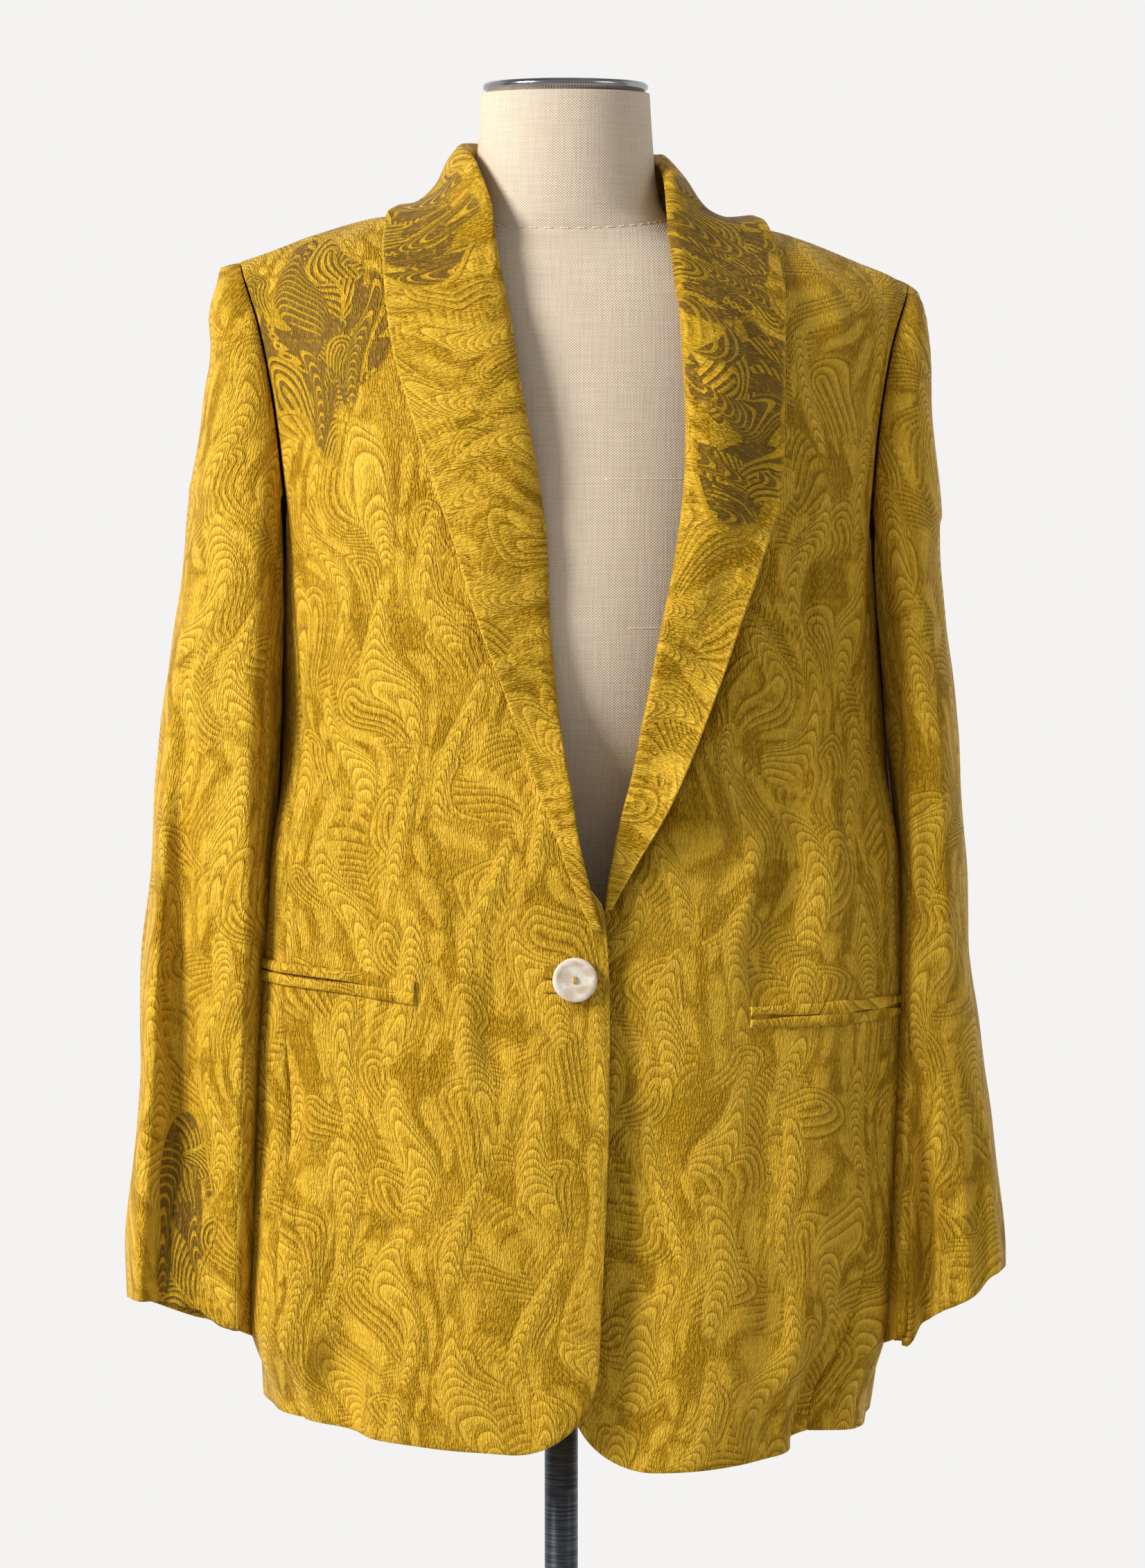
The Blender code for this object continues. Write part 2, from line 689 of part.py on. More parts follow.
def sheet(name, grid, material, thickness=CLOTH, axis=BODY_AXIS, columns=None):
    """A cloth piece through a grid of points, its outside away from an upright axis.

    A collar is judged by its fall alone, the columns after its stand.
    """
    across = len(grid[0])
    points = [point * MM for row in grid for point in row]
    faces = []
    for r in range(len(grid) - 1):
        for c in range(across - 1):
            corner = r * across + c
            faces.append((corner, corner + 1, corner + across + 1, corner + across))
    mesh = bpy.data.meshes.new(name)
    mesh.from_pydata(points, [], faces)
    middle = Vector((axis[0] * MM, axis[1] * MM, 0))
    facing = 0
    for face in mesh.polygons:
        if columns is None or face.index % (across - 1) >= columns:
            away = face.center - middle
            facing += face.normal.x * away.x + face.normal.y * away.y
    if facing < 0:
        mesh.flip_normals()
    solid = add(name, mesh, material)
    wall = solid.modifiers.new("wall", "SOLIDIFY")
    wall.thickness = thickness * MM
    wall.offset = -1
    return solid


def welt_grid(side, low, high, start, stop):
    """A narrow strip over the front and side panel, made from their points moved out."""
    sign = SIGN[side]
    grid = []
    for edge in (low, high):
        row = []
        for f in steps(WELT_COLUMNS):
            angle = start + (stop - start) * f
            height = edge + POCKET_RISE[side] * math.sin(f * math.pi / 2)
            place = hang(ring_point(side, angle, height), sign)
            beside = hang(ring_point(side, angle + 0.01, height), sign) - place
            below = place - hang(ring_point(side, angle, height - 1), sign)
            row.append(place + beside.cross(below).normalized() * sign * WELT_LIFT)
        grid.append(row)
    return grid


COLLECTION = bpy.data.collections.new("blazer_on_dress_form")
bpy.context.scene.collection.children.link(COLLECTION)


def material(name, colour, roughness, metallic=0.0):
    made = bpy.data.materials.new(name)
    made.use_nodes = True
    shader = made.node_tree.nodes["Principled BSDF"]
    shader.inputs["Base Color"].default_value = (*colour, 1)
    shader.inputs["Roughness"].default_value = roughness
    shader.inputs["Metallic"].default_value = metallic
    return made


def add(name, mesh, finish):
    """A named object of the part with its material."""
    mesh.materials.append(finish)
    mesh.shade_smooth()
    made = bpy.data.objects.new(name, mesh)
    COLLECTION.objects.link(made)
    return made


def mesh_from(name, shape):
    mesh = bpy.data.meshes.new(name)
    shape.to_mesh(mesh)
    shape.free()
    return mesh


JACQUARD = material("mustard_jacquard", (0.52, 0.31, 0.03), 0.55)
LINEN = material("linen", (0.62, 0.53, 0.42), 0.9)
CHROME = material("chrome", (0.75, 0.75, 0.76), 0.15, 1.0)
STEEL = material("dark_steel", (0.10, 0.11, 0.13), 0.4, 0.9)
SHELL = material("mother_of_pearl", (0.85, 0.80, 0.74), 0.25)
THREAD = material("mustard_thread", (0.55, 0.36, 0.05), 0.8)


def add_cloth():
    for side, sign in SIGN.items():
        sleeve_axis = (sign * SLEEVE_AXIS, 0)
        sheet("front_" + side, front_grid(side), JACQUARD)
        sheet("side_panel_" + side, side_grid(side), JACQUARD)
        for length, grid in at_elbow(top_sleeve_grid(side)):
            sheet("top_sleeve_" + length + side, grid, JACQUARD, axis=sleeve_axis)
        for length, grid in at_elbow(under_sleeve_grid(side)):
            sheet("under_sleeve_" + length + side, grid, JACQUARD, axis=sleeve_axis)
        sheet("shawl_collar_" + side, collar_grid(side), JACQUARD, columns=STAND_COLUMNS)
    sheet("back", back_grid(), JACQUARD)


def add_pockets():
    for side in SIGN:
        slit = POCKET_HEIGHT[side]
        half = read(BODY, "half_width", slit)
        start = math.asin((POCKET_INNER / half) ** (1 / FRONT_POWER))
        stop = math.radians(POCKET_OUTER_ANGLE)
        upper = slit + WELT_SLIT / 2
        lower = slit - WELT_SLIT / 2
        strips = (("upper", upper, upper + WELT_TALL), ("lower", lower - WELT_TALL, lower))
        for place, low, high in strips:
            grid = welt_grid(side, low, high, start, stop)
            sheet("pocket_welt_" + place + "_" + side, grid, JACQUARD, WELT_CLOTH)


def add_buttonhole():
    upper = BUTTON_Z + WELT_SLIT / 2
    lower = BUTTON_Z - WELT_SLIT / 2
    middle = (HOLE_WELT_START + HOLE_WELT_END) / 2
    strips = (("upper", upper, upper + HOLE_WELT_TALL), ("lower", lower - HOLE_WELT_TALL, lower))
    for place, low, high in strips:
        grid = []
        for z in (low, high):
            places = (HOLE_WELT_START, middle, HOLE_WELT_END)
            grid.append([on_front("right", x, z, HOLE_WELT_LIFT) for x in places])
        sheet("buttonhole_welt_" + place, grid, JACQUARD, HOLE_WELT_CLOTH)


def button_frame():
    """An empty on the overlapping front, with its own +Z along the cloth's normal."""
    place = on_front("right", BUTTON_X, BUTTON_Z, BUTTON_LIFT)
    normal = (on_front("right", BUTTON_X, BUTTON_Z, BUTTON_LIFT + 1) - place).normalized()
    empty = bpy.data.objects.new("button_place", None)
    empty.rotation_euler = normal.to_track_quat("Z", "Y").to_euler()
    empty.location = place * MM
    COLLECTION.objects.link(empty)
    return empty


def add_button():
    frame = button_frame()
    rim = bmesh.new()
    bmesh.ops.create_cone(rim, cap_ends=True, segments=BUTTON_SIDES, radius1=BUTTON_RADIUS * MM,
                          radius2=BUTTON_RADIUS * MM, depth=BUTTON_THICK * MM)
    bmesh.ops.translate(rim, verts=rim.verts, vec=(0, 0, BUTTON_THICK * MM / 2))
    button = add("button", mesh_from("button", rim), SHELL)
    button.parent = frame
    bevel = button.modifiers.new("rim", "BEVEL")
    bevel.width = BUTTON_BEVEL * MM
    bevel.segments = 2
    cutters = bpy.data.collections.new("cutters")
    bpy.context.scene.collection.children.link(cutters)
    for side in (-1, 1):
        hole = bmesh.new()
        bmesh.ops.create_cone(hole, cap_ends=True, segments=BUTTON_HOLE_SIDES,
                              radius1=BUTTON_HOLE_RADIUS * MM, radius2=BUTTON_HOLE_RADIUS * MM,
                              depth=4 * BUTTON_THICK * MM)
        cutter = bpy.data.objects.new("button_hole", mesh_from("button_hole", hole))
        cutter.location = (0, side * BUTTON_HOLE_APART * MM, 0)
        cutter.parent = frame
        cutter.hide_render = True
        cutter.display_type = "WIRE"
        cutters.objects.link(cutter)
        cut = button.modifiers.new("hole", "BOOLEAN")
        cut.operation = "DIFFERENCE"
        cut.object = cutter
    add_thread(frame)


def add_thread(frame):
    """A staple of thread through the two holes."""
    curve = bpy.data.curves.new("button_thread", "CURVE")
    curve.dimensions = "3D"
    curve.bevel_depth = THREAD_RADIUS * MM
    curve.bevel_resolution = 2
    curve.use_fill_caps = True
    top = BUTTON_THICK + THREAD_RADIUS + SEAM_GAP
    spline = curve.splines.new("POLY")
    half = ((BUTTON_HOLE_APART, SEAM_GAP), (BUTTON_HOLE_APART, top - THREAD_BEND),
            (BUTTON_HOLE_APART - THREAD_BEND, top))
    route = [(-y, z) for y, z in half] + list(reversed(half))
    spline.points.add(len(route) - 1)
    for point, (y, z) in zip(spline.points, route):
        point.co = (0, y * MM, z * MM, 1)
    curve.materials.append(THREAD)
    thread = bpy.data.objects.new("button_thread", curve)
    thread.parent = frame
    COLLECTION.objects.link(thread)


def form_lean(height):
    """How far the form's middle stands to the left of its pole."""
    return FORM_LEAN * (height - FORM[0]["height"])


def add_torso():
    """The form's torso and neck, a closed loft of rounded sections."""
    shape = bmesh.new()
    rings = []
    for row in FORM:
        ring = []
        lean = form_lean(row["height"])
        for k in range(FORM_SIDES):
            angle = 2 * math.pi * k / FORM_SIDES
            depth = row["front"] if math.cos(angle) > 0 else row["back"]
            x = lean + row["half_width"] * power(math.sin(angle), 2 / FORM_SQUARE)
            y = -depth * power(math.cos(angle), 2 / FORM_SQUARE)
            ring.append(shape.verts.new((x * MM, y * MM, row["height"] * MM)))
        rings.append(ring)
    for low, high in zip(rings, rings[1:]):
        for k in range(FORM_SIDES):
            after = (k + 1) % FORM_SIDES
            shape.faces.new((low[k], low[after], high[after], high[k]))
    shape.faces.new(list(reversed(rings[0])))
    shape.faces.new(rings[-1])
    bmesh.ops.recalc_face_normals(shape, faces=shape.faces)
    add("form_torso", mesh_from("form_torso", shape), LINEN)


def add_turned(name, profile, finish, sides):
    """A turned solid from a closed profile of radius and height, listed from the top outward and down."""
    points = [(radius * MM, 0, height * MM) for radius, height in profile]
    edges = [(k, k + 1) for k in range(len(points) - 1)]
    mesh = bpy.data.meshes.new(name)
    mesh.from_pydata(points, edges, [])
    made = add(name, mesh, finish)
    turn = made.modifiers.new("turn", "SCREW")
    turn.steps = sides
    turn.render_steps = sides
    turn.use_merge_vertices = True
    turn.merge_threshold = 0.00001
    return made


def add_form():
    add_torso()
    seat = FORM[-1]["height"] + SEAM_GAP
    cap = [
        (0, seat + CAP_TALL + CAP_DOME),
        (CAP_RADIUS / 2, seat + CAP_TALL + CAP_DOME * 3 / 4),
        (CAP_RADIUS - CAP_ROUND, seat + CAP_TALL),
        (CAP_RADIUS, seat + CAP_TALL - CAP_ROUND),
        (CAP_RADIUS, seat + CAP_ROUND),
        (CAP_RADIUS - CAP_ROUND, seat),
        (0, seat),
    ]
    neck_cap = add_turned("form_neck_cap", cap, CHROME, CAP_SIDES)
    neck_cap.location.x = form_lean(seat) * MM
    pole_top = FORM[0]["height"] - SEAM_GAP
    pole_low = BASE_TALL + SEAM_GAP
    pole = [(0, pole_top), (POLE_RADIUS, pole_top), (POLE_RADIUS, pole_low), (0, pole_low)]
    add_turned("form_pole", pole, STEEL, POLE_SIDES)
    base = [
        (0, BASE_TALL),
        (BASE_RADIUS - BASE_BEVEL, BASE_TALL),
        (BASE_RADIUS, BASE_TALL - BASE_BEVEL),
        (BASE_RADIUS, 0),
        (0, 0),
    ]
    add_turned("form_base", base, STEEL, BASE_SIDES)


add_cloth()
add_pockets()
add_buttonhole()
add_button()
add_form()
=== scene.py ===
"""How the blazer on its dress form looks: cloth, linen, metal, light and camera.

The tables and the shape functions are in millimetres, and the meshes are in metres.
"""

import math

import bpy
import numpy as np
from mathutils import Matrix, Vector


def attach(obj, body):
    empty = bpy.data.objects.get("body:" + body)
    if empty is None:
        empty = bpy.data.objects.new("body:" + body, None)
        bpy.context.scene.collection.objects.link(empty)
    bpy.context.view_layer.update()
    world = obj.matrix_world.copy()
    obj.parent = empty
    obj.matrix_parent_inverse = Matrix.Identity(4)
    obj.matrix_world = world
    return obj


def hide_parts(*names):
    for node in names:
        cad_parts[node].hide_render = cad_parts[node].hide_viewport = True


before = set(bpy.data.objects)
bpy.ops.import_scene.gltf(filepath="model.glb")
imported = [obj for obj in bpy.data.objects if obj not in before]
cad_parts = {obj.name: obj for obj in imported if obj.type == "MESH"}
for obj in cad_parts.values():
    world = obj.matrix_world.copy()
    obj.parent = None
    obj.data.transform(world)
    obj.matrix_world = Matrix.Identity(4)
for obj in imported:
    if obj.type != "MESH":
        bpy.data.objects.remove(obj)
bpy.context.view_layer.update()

for UNUSED in ("Cube", "Light", "Camera"):
    if UNUSED in bpy.data.objects:
        bpy.data.objects.remove(bpy.data.objects[UNUSED])

MM = 0.001
SIGN = {"right": -1, "left": 1}


def table(names, *rows):
    """Rows of numbers as dictionaries with named columns."""
    keys = names.split()
    return [dict(zip(keys, row)) for row in rows]


# Cloth, seams and how the blazer hangs
CLOTH = 1.5
SEAM_GAP = 0.3
ARMHOLE_GAP = 0.4
SEAM_TRIM = 0.0008
LEAN = 0.033
LAP = {"right": 3.0, "left": 0.0}
SQUARE_FRONT = 2.4
SQUARE_BACK = 2.8

# Heights that the cut is built on
HEM_SIDE = 727
HEM_FRONT = {"right": 718.5, "left": 708}
HEM_CORNER = 52
NOTCH = 1270
NOTCH_HALF = 181
NOTCH_FRONT = 125
NOTCH_BACK = 112
UNDERARM_DIP = 62
UNDERARM_ROUND = 0.8
SHOULDER = 1414.5
SHOULDER_OUT = 203
SHOULDER_SLOPE = 0.3
SHOULDER_Y = 8.0
SHOULDER_Y_BACK = 9.0
SHOULDER_CROWN = 4.5
CROWN_AT = 0.68
NECK_TOP = SHOULDER + SHOULDER_SLOPE * SHOULDER_OUT
NECK_POINT = 72
NECK_TURN = 6
BACK_NECK_RISE = 0.62

# Horizontal sections of the body: sizes about the centre, and the angles of the side seams
BODY = table(
    "height half_width front back centre front_seam back_seam",
    (700, 182, 134, 114, 2, 56, 62),
    (780, 190, 134, 114, 5, 56, 62),
    (850, 191.5, 133, 113, 8, 56, 62),
    (950, 192, 131, 110, 12, 57, 62),
    (1057, 187, 131, 106, 15, 60, 62),
    (1150, 182, 131, 106, 13.5, 65, 63),
    (1237, 180, 128, 110, 11, 71, 64),
    (NOTCH, NOTCH_HALF, NOTCH_FRONT, NOTCH_BACK, 10.3, 73, 64),
    (1420, NOTCH_HALF, 122, NOTCH_BACK, 8, 73, 64),
)

# Large folds of the body: a trough between two heights, its angle at each and its depth
BODY_FOLDS = table(
    "side low high angle_low angle_high half_width depth",
    ("left", 640, 850, 53, 51, 13, 22),
    ("left", 940, 1220, 27, 44, 9, 6),
    ("left", 1180, 1330, 43, 44, 9, 5),
    ("right", 650, 840, 45, 43, 11, 10),
    ("right", 820, 990, 57, 55, 9, 6),
)

# Front edge below the roll line, then the lapel's roll line and outer edge, across the body
FRONT_EDGE = {
    "right": table("height edge", (690, 19), (760, 22), (850, 26), (960, 28), (1010, 26), (1028, 23)),
    "left": table("height edge", (690, 4), (760, 2), (850, -6), (950, -14), (975, -12), (1028, 27)),
}
LAPEL = {
    "right": table(
        "height roll edge",
        (1029, 24, 19),
        (1046, 19, 10.8),
        (1082, 11, -2),
        (1119, 5, -16),
        (1162, -1, -30.5),
        (1203, -4.4, -46),
        (1255, -8, -62),
        (1300, -14, -77),
        (1363, -25.6, -96.7),
        (1397, -31, -102.4),
        (1429, -36.5, -105.5),
    ),
    "left": table(
        "height roll edge",
        (1041, 25.5, 29.5),
        (1066, 29, 43.3),
        (1094, 35, 59.4),
        (1125, 42.5, 73.4),
        (1170, 51.5, 90.7),
        (1204, 58, 102.7),
        (1248, 66.5, 117.2),
        (1288, 72, 128.4),
        (1332, 72.6, 130),
        (1363, 71, 130.5),
        (1400, 68, 131.5),
        (1427, 65.5, 128),
    ),
}
EDGE_UNDER_ROLL = 5
LAPEL_PROFILE = table(
    "share lift narrow_lift",
    (0, -1, 1),
    (0, 3, 2),
    (0.02, 6, 3.2),
    (0.12, 6.5, 3.6),
    (0.35, 5.0, 3.5),
    (0.6, 4.1, 3.2),
    (0.82, 3.6, 3.0),
    (1, 3.4, 2.8),
)
LAPEL_WIDE = 40

# The collar round the neck: foot of the stand, top of the roll and outer edge of the fall
NECK_COLUMNS = "foot_x foot_y foot_z roll_x roll_y roll_z edge_x edge_y edge_z sag"
COLLAR_NECK = {
    "right": table(
        NECK_COLUMNS,
        (-42, -55, 1444, -40, -60, 1455, -105, -23, 1447.5, 2),
        (-57, -30, 1453, -49, -35, 1481, -101, -5, 1453, 8),
        (-61, 4, 1457, -55.5, 2, 1492, -95, 15, 1455.5, 10),
        (-46, 46, 1450, -42, 44, 1494, -76, 59, 1445.5, 3),
        (3.3, 66.5, 1444, 3.3, 63, 1498, 3.3, 84, 1428, 0),
    ),
    "left": table(
        NECK_COLUMNS,
        (64, -49, 1442, 64, -51, 1450, 124, -20, 1443, 2),
        (69, -27, 1449, 62, -31, 1472, 119, -3, 1447.5, 10),
        (70.5, 4, 1452, 58, 2, 1484, 111, 16, 1448.5, 12),
        (55, 46, 1446, 48, 44, 1489, 86, 59, 1442, 4),
        (4.7, 66.5, 1444, 4.7, 63, 1498, 4.7, 84, 1428, 0),
    ),
}
COLLAR_ROLL = 4
COLLAR_FALL = table("share sag", (0.12, 0.3), (0.4, 1), (0.72, 0.8))

# Armhole above its notches, seen at the front and at the back
FRONT_POWER = 2 / SQUARE_FRONT
BACK_POWER = 2 / SQUARE_BACK
FRONT_NOTCH = math.radians(73)
BACK_NOTCH = math.radians(64)
NOTCH_ACROSS = math.sin(FRONT_NOTCH) ** FRONT_POWER
NOTCH_BULGE = math.cos(FRONT_NOTCH) ** FRONT_POWER
BACK_ACROSS = math.sin(BACK_NOTCH) ** BACK_POWER
BACK_BULGE = math.cos(BACK_NOTCH) ** BACK_POWER
ARMHOLE = table(
    "rise front_x front_y back_x back_y",
    (
        0,
        NOTCH_HALF * NOTCH_ACROSS,
        -NOTCH_FRONT * NOTCH_BULGE,
        NOTCH_HALF * BACK_ACROSS,
        NOTCH_BACK * BACK_BULGE,
    ),
    (0.25, 180, -43, 173, 64),
    (0.5, 188.5, -33, 184, 55),
    (0.75, 198.5, -15, 197, 33),
    (1, SHOULDER_OUT, SHOULDER_Y, SHOULDER_OUT, SHOULDER_Y_BACK),
)

# Sleeves below the notches: distances from the middle plane, and depths; then the sleeve heads
SLEEVE_SEAM = 130
SLEEVE_TRIM = 0.004
SLEEVE_CLEAR = 2.2
SLEEVE_DRAW_FROM = 0.6
SLEEVE_AXIS = 225
SLEEVE_COLUMNS = "height inner outer front back"
SLEEVE = {
    "right": table(
        SLEEVE_COLUMNS,
        (760, 182, 259, -84, 26),
        (836, 180, 262.5, -84, 34),
        (910, 177, 256, -82, 48),
        (986, 172, 254.5, -79, 62),
        (1040, 167, 250, -77, 72),
        (1150, 166, 242, -72, 80),
        (1240, 166, 229, -63, 79),
        (1290, 166, 223, -58, 76),
    ),
    "left": table(
        SLEEVE_COLUMNS,
        (760, 192, 270, -84, 26),
        (836, 194, 267.5, -84, 36),
        (910, 196, 260, -83, 52),
        (986, 198, 250, -81, 68),
        (1057, 200, 246, -80, 78),
        (1160, 197, 238.5, -76, 84),
        (1230, 193, 232, -66, 80),
        (1290, 187, 228, -58, 76),
    ),
}
SLEEVE_HEAD = {
    "right": table("height outer", (1276, 224.5), (1328, 217), (1366, 211.5), (1390, 213), (1418, 206)),
    "left": table("height outer", (1264, 229.5), (1309, 225), (1337, 222), (1385, 220.5), (1403, 216)),
}
SLEEVE_HEAD_TOP = {"right": 1418, "left": 1403}
SLEEVE_HEAD_END = 0.975
SLEEVE_HEAD_CLOSE = 35
CUFF = {
    "right": {"middle": 784, "outer_rise": 12, "front_rise": 12},
    "left": {"middle": 788, "outer_rise": 20, "front_rise": 8},
}
SLEEVE_FOLDS = table(
    "side low high turn half_width depth",
    ("left", 650, 1010, -114, 26, 15),
    ("left", 700, 960, -58, 20, 5),
    ("left", 950, 1180, -100, 26, 6),
    ("right", 700, 1330, -66, 26, 6),
    ("right", 640, 1000, -70, 24, 8),
    ("right", 700, 960, -112, 20, 4),
)

# Pockets, buttonhole and button
POCKET_HEIGHT = {"right": 988, "left": 979.5}
POCKET_RISE = {"right": 6.5, "left": 4}
POCKET_INNER = 98
POCKET_OUTER_ANGLE = 75
WELT_TALL = 6.4
WELT_SLIT = 0.9
WELT_CLOTH = 1.4
BUTTON_X = 8.4
BUTTON_Z = 1000.5
BUTTON_THICK = 3.2
BUTTON_LIFT = 2.4
BUTTON_HOLE_RADIUS = 1.15
BUTTON_HOLE_APART = 2.1
HOLE_WELT_START = -10.5
HOLE_WELT_END = 3.5
HOLE_WELT_TALL = 7.6
HOLE_WELT_CLOTH = 1.0

# Dress form
FORM = table(
    "height half_width front back",
    (800, 138, 88, 90),
    (812, 150, 95, 97),
    (870, 160, 99, 101),
    (960, 150, 98, 96),
    (1060, 136, 97, 88),
    (1130, 143, 106, 88),
    (1200, 154, 112, 92),
    (1270, 158, 107, 93),
    (1340, 160, 91, 82),
    (1390, 156, 74, 64),
    (1412, 142, 64, 53),
    (1427, 113, 57, 50),
    (1438, 79, 54.5, 50),
    (1449, 61, 54.5, 52),
    (1464, 55.5, 54, 54),
    (1490, 52.7, 52.7, 52.7),
    (1521, 50.6, 50.6, 50.6),
)
FORM_SQUARE = 2.15
FORM_LEAN = 0.0038
POLE_RADIUS = 10.2
BASE_RADIUS = 190
BASE_TALL = 12

# Rows and columns of the grids, before they are doubled
LOWER_ROWS = 60
UPPER_ROWS = 40
FRONT_COLUMNS = 64
FRONT_EASE = 1.5
SIDE_COLUMNS = 20
BACK_COLUMNS = 80
TOP_SLEEVE_COLUMNS = 60
UNDER_SLEEVE_COLUMNS = 20
LAPEL_ROWS = 64
NECK_STEPS = 12
COLLAR_COLUMNS = 44
WELT_COLUMNS = 40
WELT_ROWS = 12
TORSO_SIDES = 120
BISECTIONS = 24
BODY_AXIS = (8, 0)


def read(rows, column, at, key="height"):
    """One column of a table, read smoothly between its rows."""
    at = min(max(at, rows[0][key]), rows[-1][key])
    last = len(rows) - 1
    i = 0
    while i < last - 1 and at > rows[i + 1][key]:
        i += 1

    def slope(k):
        low = rows[max(k - 1, 0)]
        high = rows[min(k + 1, last)]
        return (high[column] - low[column]) / (high[key] - low[key])

    span = rows[i + 1][key] - rows[i][key]
    f = (at - rows[i][key]) / span
    start, end = rows[i][column], rows[i + 1][column]
    ease = f * f * (3 - 2 * f)
    bow = span * f * (1 - f) * ((1 - f) * slope(i) - f * slope(i + 1))
    return start + (end - start) * ease + bow


def power(value, exponent):
    """A power that keeps the sign of its base."""
    return math.copysign(abs(value) ** exponent, value)


def steps(count):
    return [k / count for k in range(count + 1)]


def window(offset):
    """A smooth hump, 1 at offset 0 and 0 from offset 1 on."""
    return math.cos(min(abs(offset), 1) * math.pi / 2) ** 2


def body_fold(side, angle, height):
    """How far the large folds press the body cloth in."""
    depth = 0
    for fold in BODY_FOLDS:
        if fold["side"] == side and fold["low"] < height < fold["high"]:
            f = (height - fold["low"]) / (fold["high"] - fold["low"])
            middle = fold["angle_low"] + (fold["angle_high"] - fold["angle_low"]) * f
            along = window(2 * f - 1)
            depth += fold["depth"] * along * window((math.degrees(angle) - middle) / fold["half_width"])
    return depth


def ring_point(side, angle, height, folded=True):
    """The body cloth below the notches. Angle 0 is the middle of the front, 90 degrees the side."""
    half = read(BODY, "half_width", height)
    if math.cos(angle) >= 0:
        across = power(math.sin(angle), FRONT_POWER)
        bulge = math.cos(angle) ** FRONT_POWER
        seam = math.cos(math.radians(read(BODY, "front_seam", height))) ** FRONT_POWER
        share = max(0, (bulge - seam) / (1 - seam))
        y = -read(BODY, "front", height) * bulge - LAP[side] * share
    else:
        across = power(math.sin(angle), BACK_POWER)
        y = read(BODY, "back", height) * abs(math.cos(angle)) ** BACK_POWER
    fold = body_fold(side, angle, height) if folded else 0
    return half * across - fold * math.sin(angle), y + fold * math.cos(angle), height


def shoulder_height(ratio, up):
    """The height above the notch by the share of the way out and up, with the shoulder's crown."""
    edge_z = NOTCH + (SHOULDER - NOTCH) * up
    middle_z = NOTCH + (NECK_TOP - NOTCH) * up
    crown = SHOULDER_CROWN * up * window((ratio - CROWN_AT) / (1 - CROWN_AT))
    return middle_z + (edge_z - middle_z) * ratio + crown


def front_upper(side, across, rise, folded=True):
    """The front from the notch (rise 0) over the chest to the shoulder seam (rise 1)."""
    up = math.sin(rise * math.pi / 2)
    forward = math.cos(rise * math.pi / 2)
    edge_x = read(ARMHOLE, "front_x", rise, "rise")
    edge_y = read(ARMHOLE, "front_y", rise, "rise")
    middle_y = SHOULDER_Y - (read(BODY, "front", NOTCH) + LAP[side] + SHOULDER_Y) * forward
    ratio = min(abs(across) / edge_x, 1)
    bulge = (1 - (ratio * NOTCH_ACROSS) ** SQUARE_FRONT) ** (1 / SQUARE_FRONT)
    share = (bulge - NOTCH_BULGE) / (1 - NOTCH_BULGE)
    z = shoulder_height(ratio, up)
    y = edge_y + (middle_y - edge_y) * share
    if folded:
        angle = math.asin(min(ratio * NOTCH_ACROSS, 1) ** (1 / FRONT_POWER))
        y += body_fold(side, angle, z) * math.cos(angle)
    return across, y, z


def front_point(side, across, height, folded=True):
    """A point of the front by its distance from the centre and its height."""
    if height <= NOTCH:
        half = read(BODY, "half_width", height)
        angle = math.asin(max(-1, min(1, power(across / half, 1 / FRONT_POWER))))
        return ring_point(side, angle, height, folded)
    low, high = 0.0, 1.0
    for _ in range(BISECTIONS):
        middle = (low + high) / 2
        if front_upper(side, across, middle, folded)[2] < height:
            low = middle
        else:
            high = middle
    return front_upper(side, across, high, folded)


def back_upper(across_share, rise):
    """The back above the notch, by the share of the way to the armhole."""
    up = math.sin(rise * math.pi / 2)
    backward = math.cos(rise * math.pi / 2)
    edge_y = read(ARMHOLE, "back_y", rise, "rise")
    middle_y = SHOULDER_Y_BACK + (read(BODY, "back", NOTCH) - SHOULDER_Y_BACK) * backward
    ratio = abs(across_share)
    bulge = (1 - (ratio * BACK_ACROSS) ** SQUARE_BACK) ** (1 / SQUARE_BACK)
    share = (bulge - BACK_BULGE) / (1 - BACK_BULGE)
    x = read(ARMHOLE, "back_x", rise, "rise") * across_share
    return x, edge_y + (middle_y - edge_y) * share, shoulder_height(ratio, up)


def hang(point, sign=1):
    """Where a point of the cut hangs: about the leaning centre, a little lower on the left."""
    x, y, z = point
    return Vector((sign * x + read(BODY, "centre", z), y, z - LEAN * sign * x))


def on_front(side, x, z, lift, folded=True):
    """The place on a front at a width and height, moved out along the cloth's normal."""
    sign = SIGN[side]
    height = z + LEAN * (x - read(BODY, "centre", z))
    across = sign * (x - read(BODY, "centre", height))
    place = hang(front_point(side, across, height, folded), sign)
    beside = hang(front_point(side, across + 1, height, folded), sign) - place
    below = place - hang(front_point(side, across, height - 1, folded), sign)
    normal = beside.cross(below).normalized() * sign
    return place + normal * lift


def inner_edge(side, z):
    """The front's free edge: the front edge below the lapel, then just under the roll line."""
    if z <= FRONT_EDGE[side][-1]["height"]:
        return read(FRONT_EDGE[side], "edge", z)
    return read(LAPEL[side], "roll", z) + SIGN[side] * EDGE_UNDER_ROLL


def hem_height(side, from_edge, share):
    """The front's hem, with its rounded corner at the free edge."""
    z = HEM_FRONT[side] + (HEM_SIDE - HEM_FRONT[side]) * share ** 2
    inside = min(max(0, HEM_CORNER - from_edge), HEM_CORNER)
    return z + HEM_CORNER - math.sqrt(HEM_CORNER ** 2 - inside ** 2)


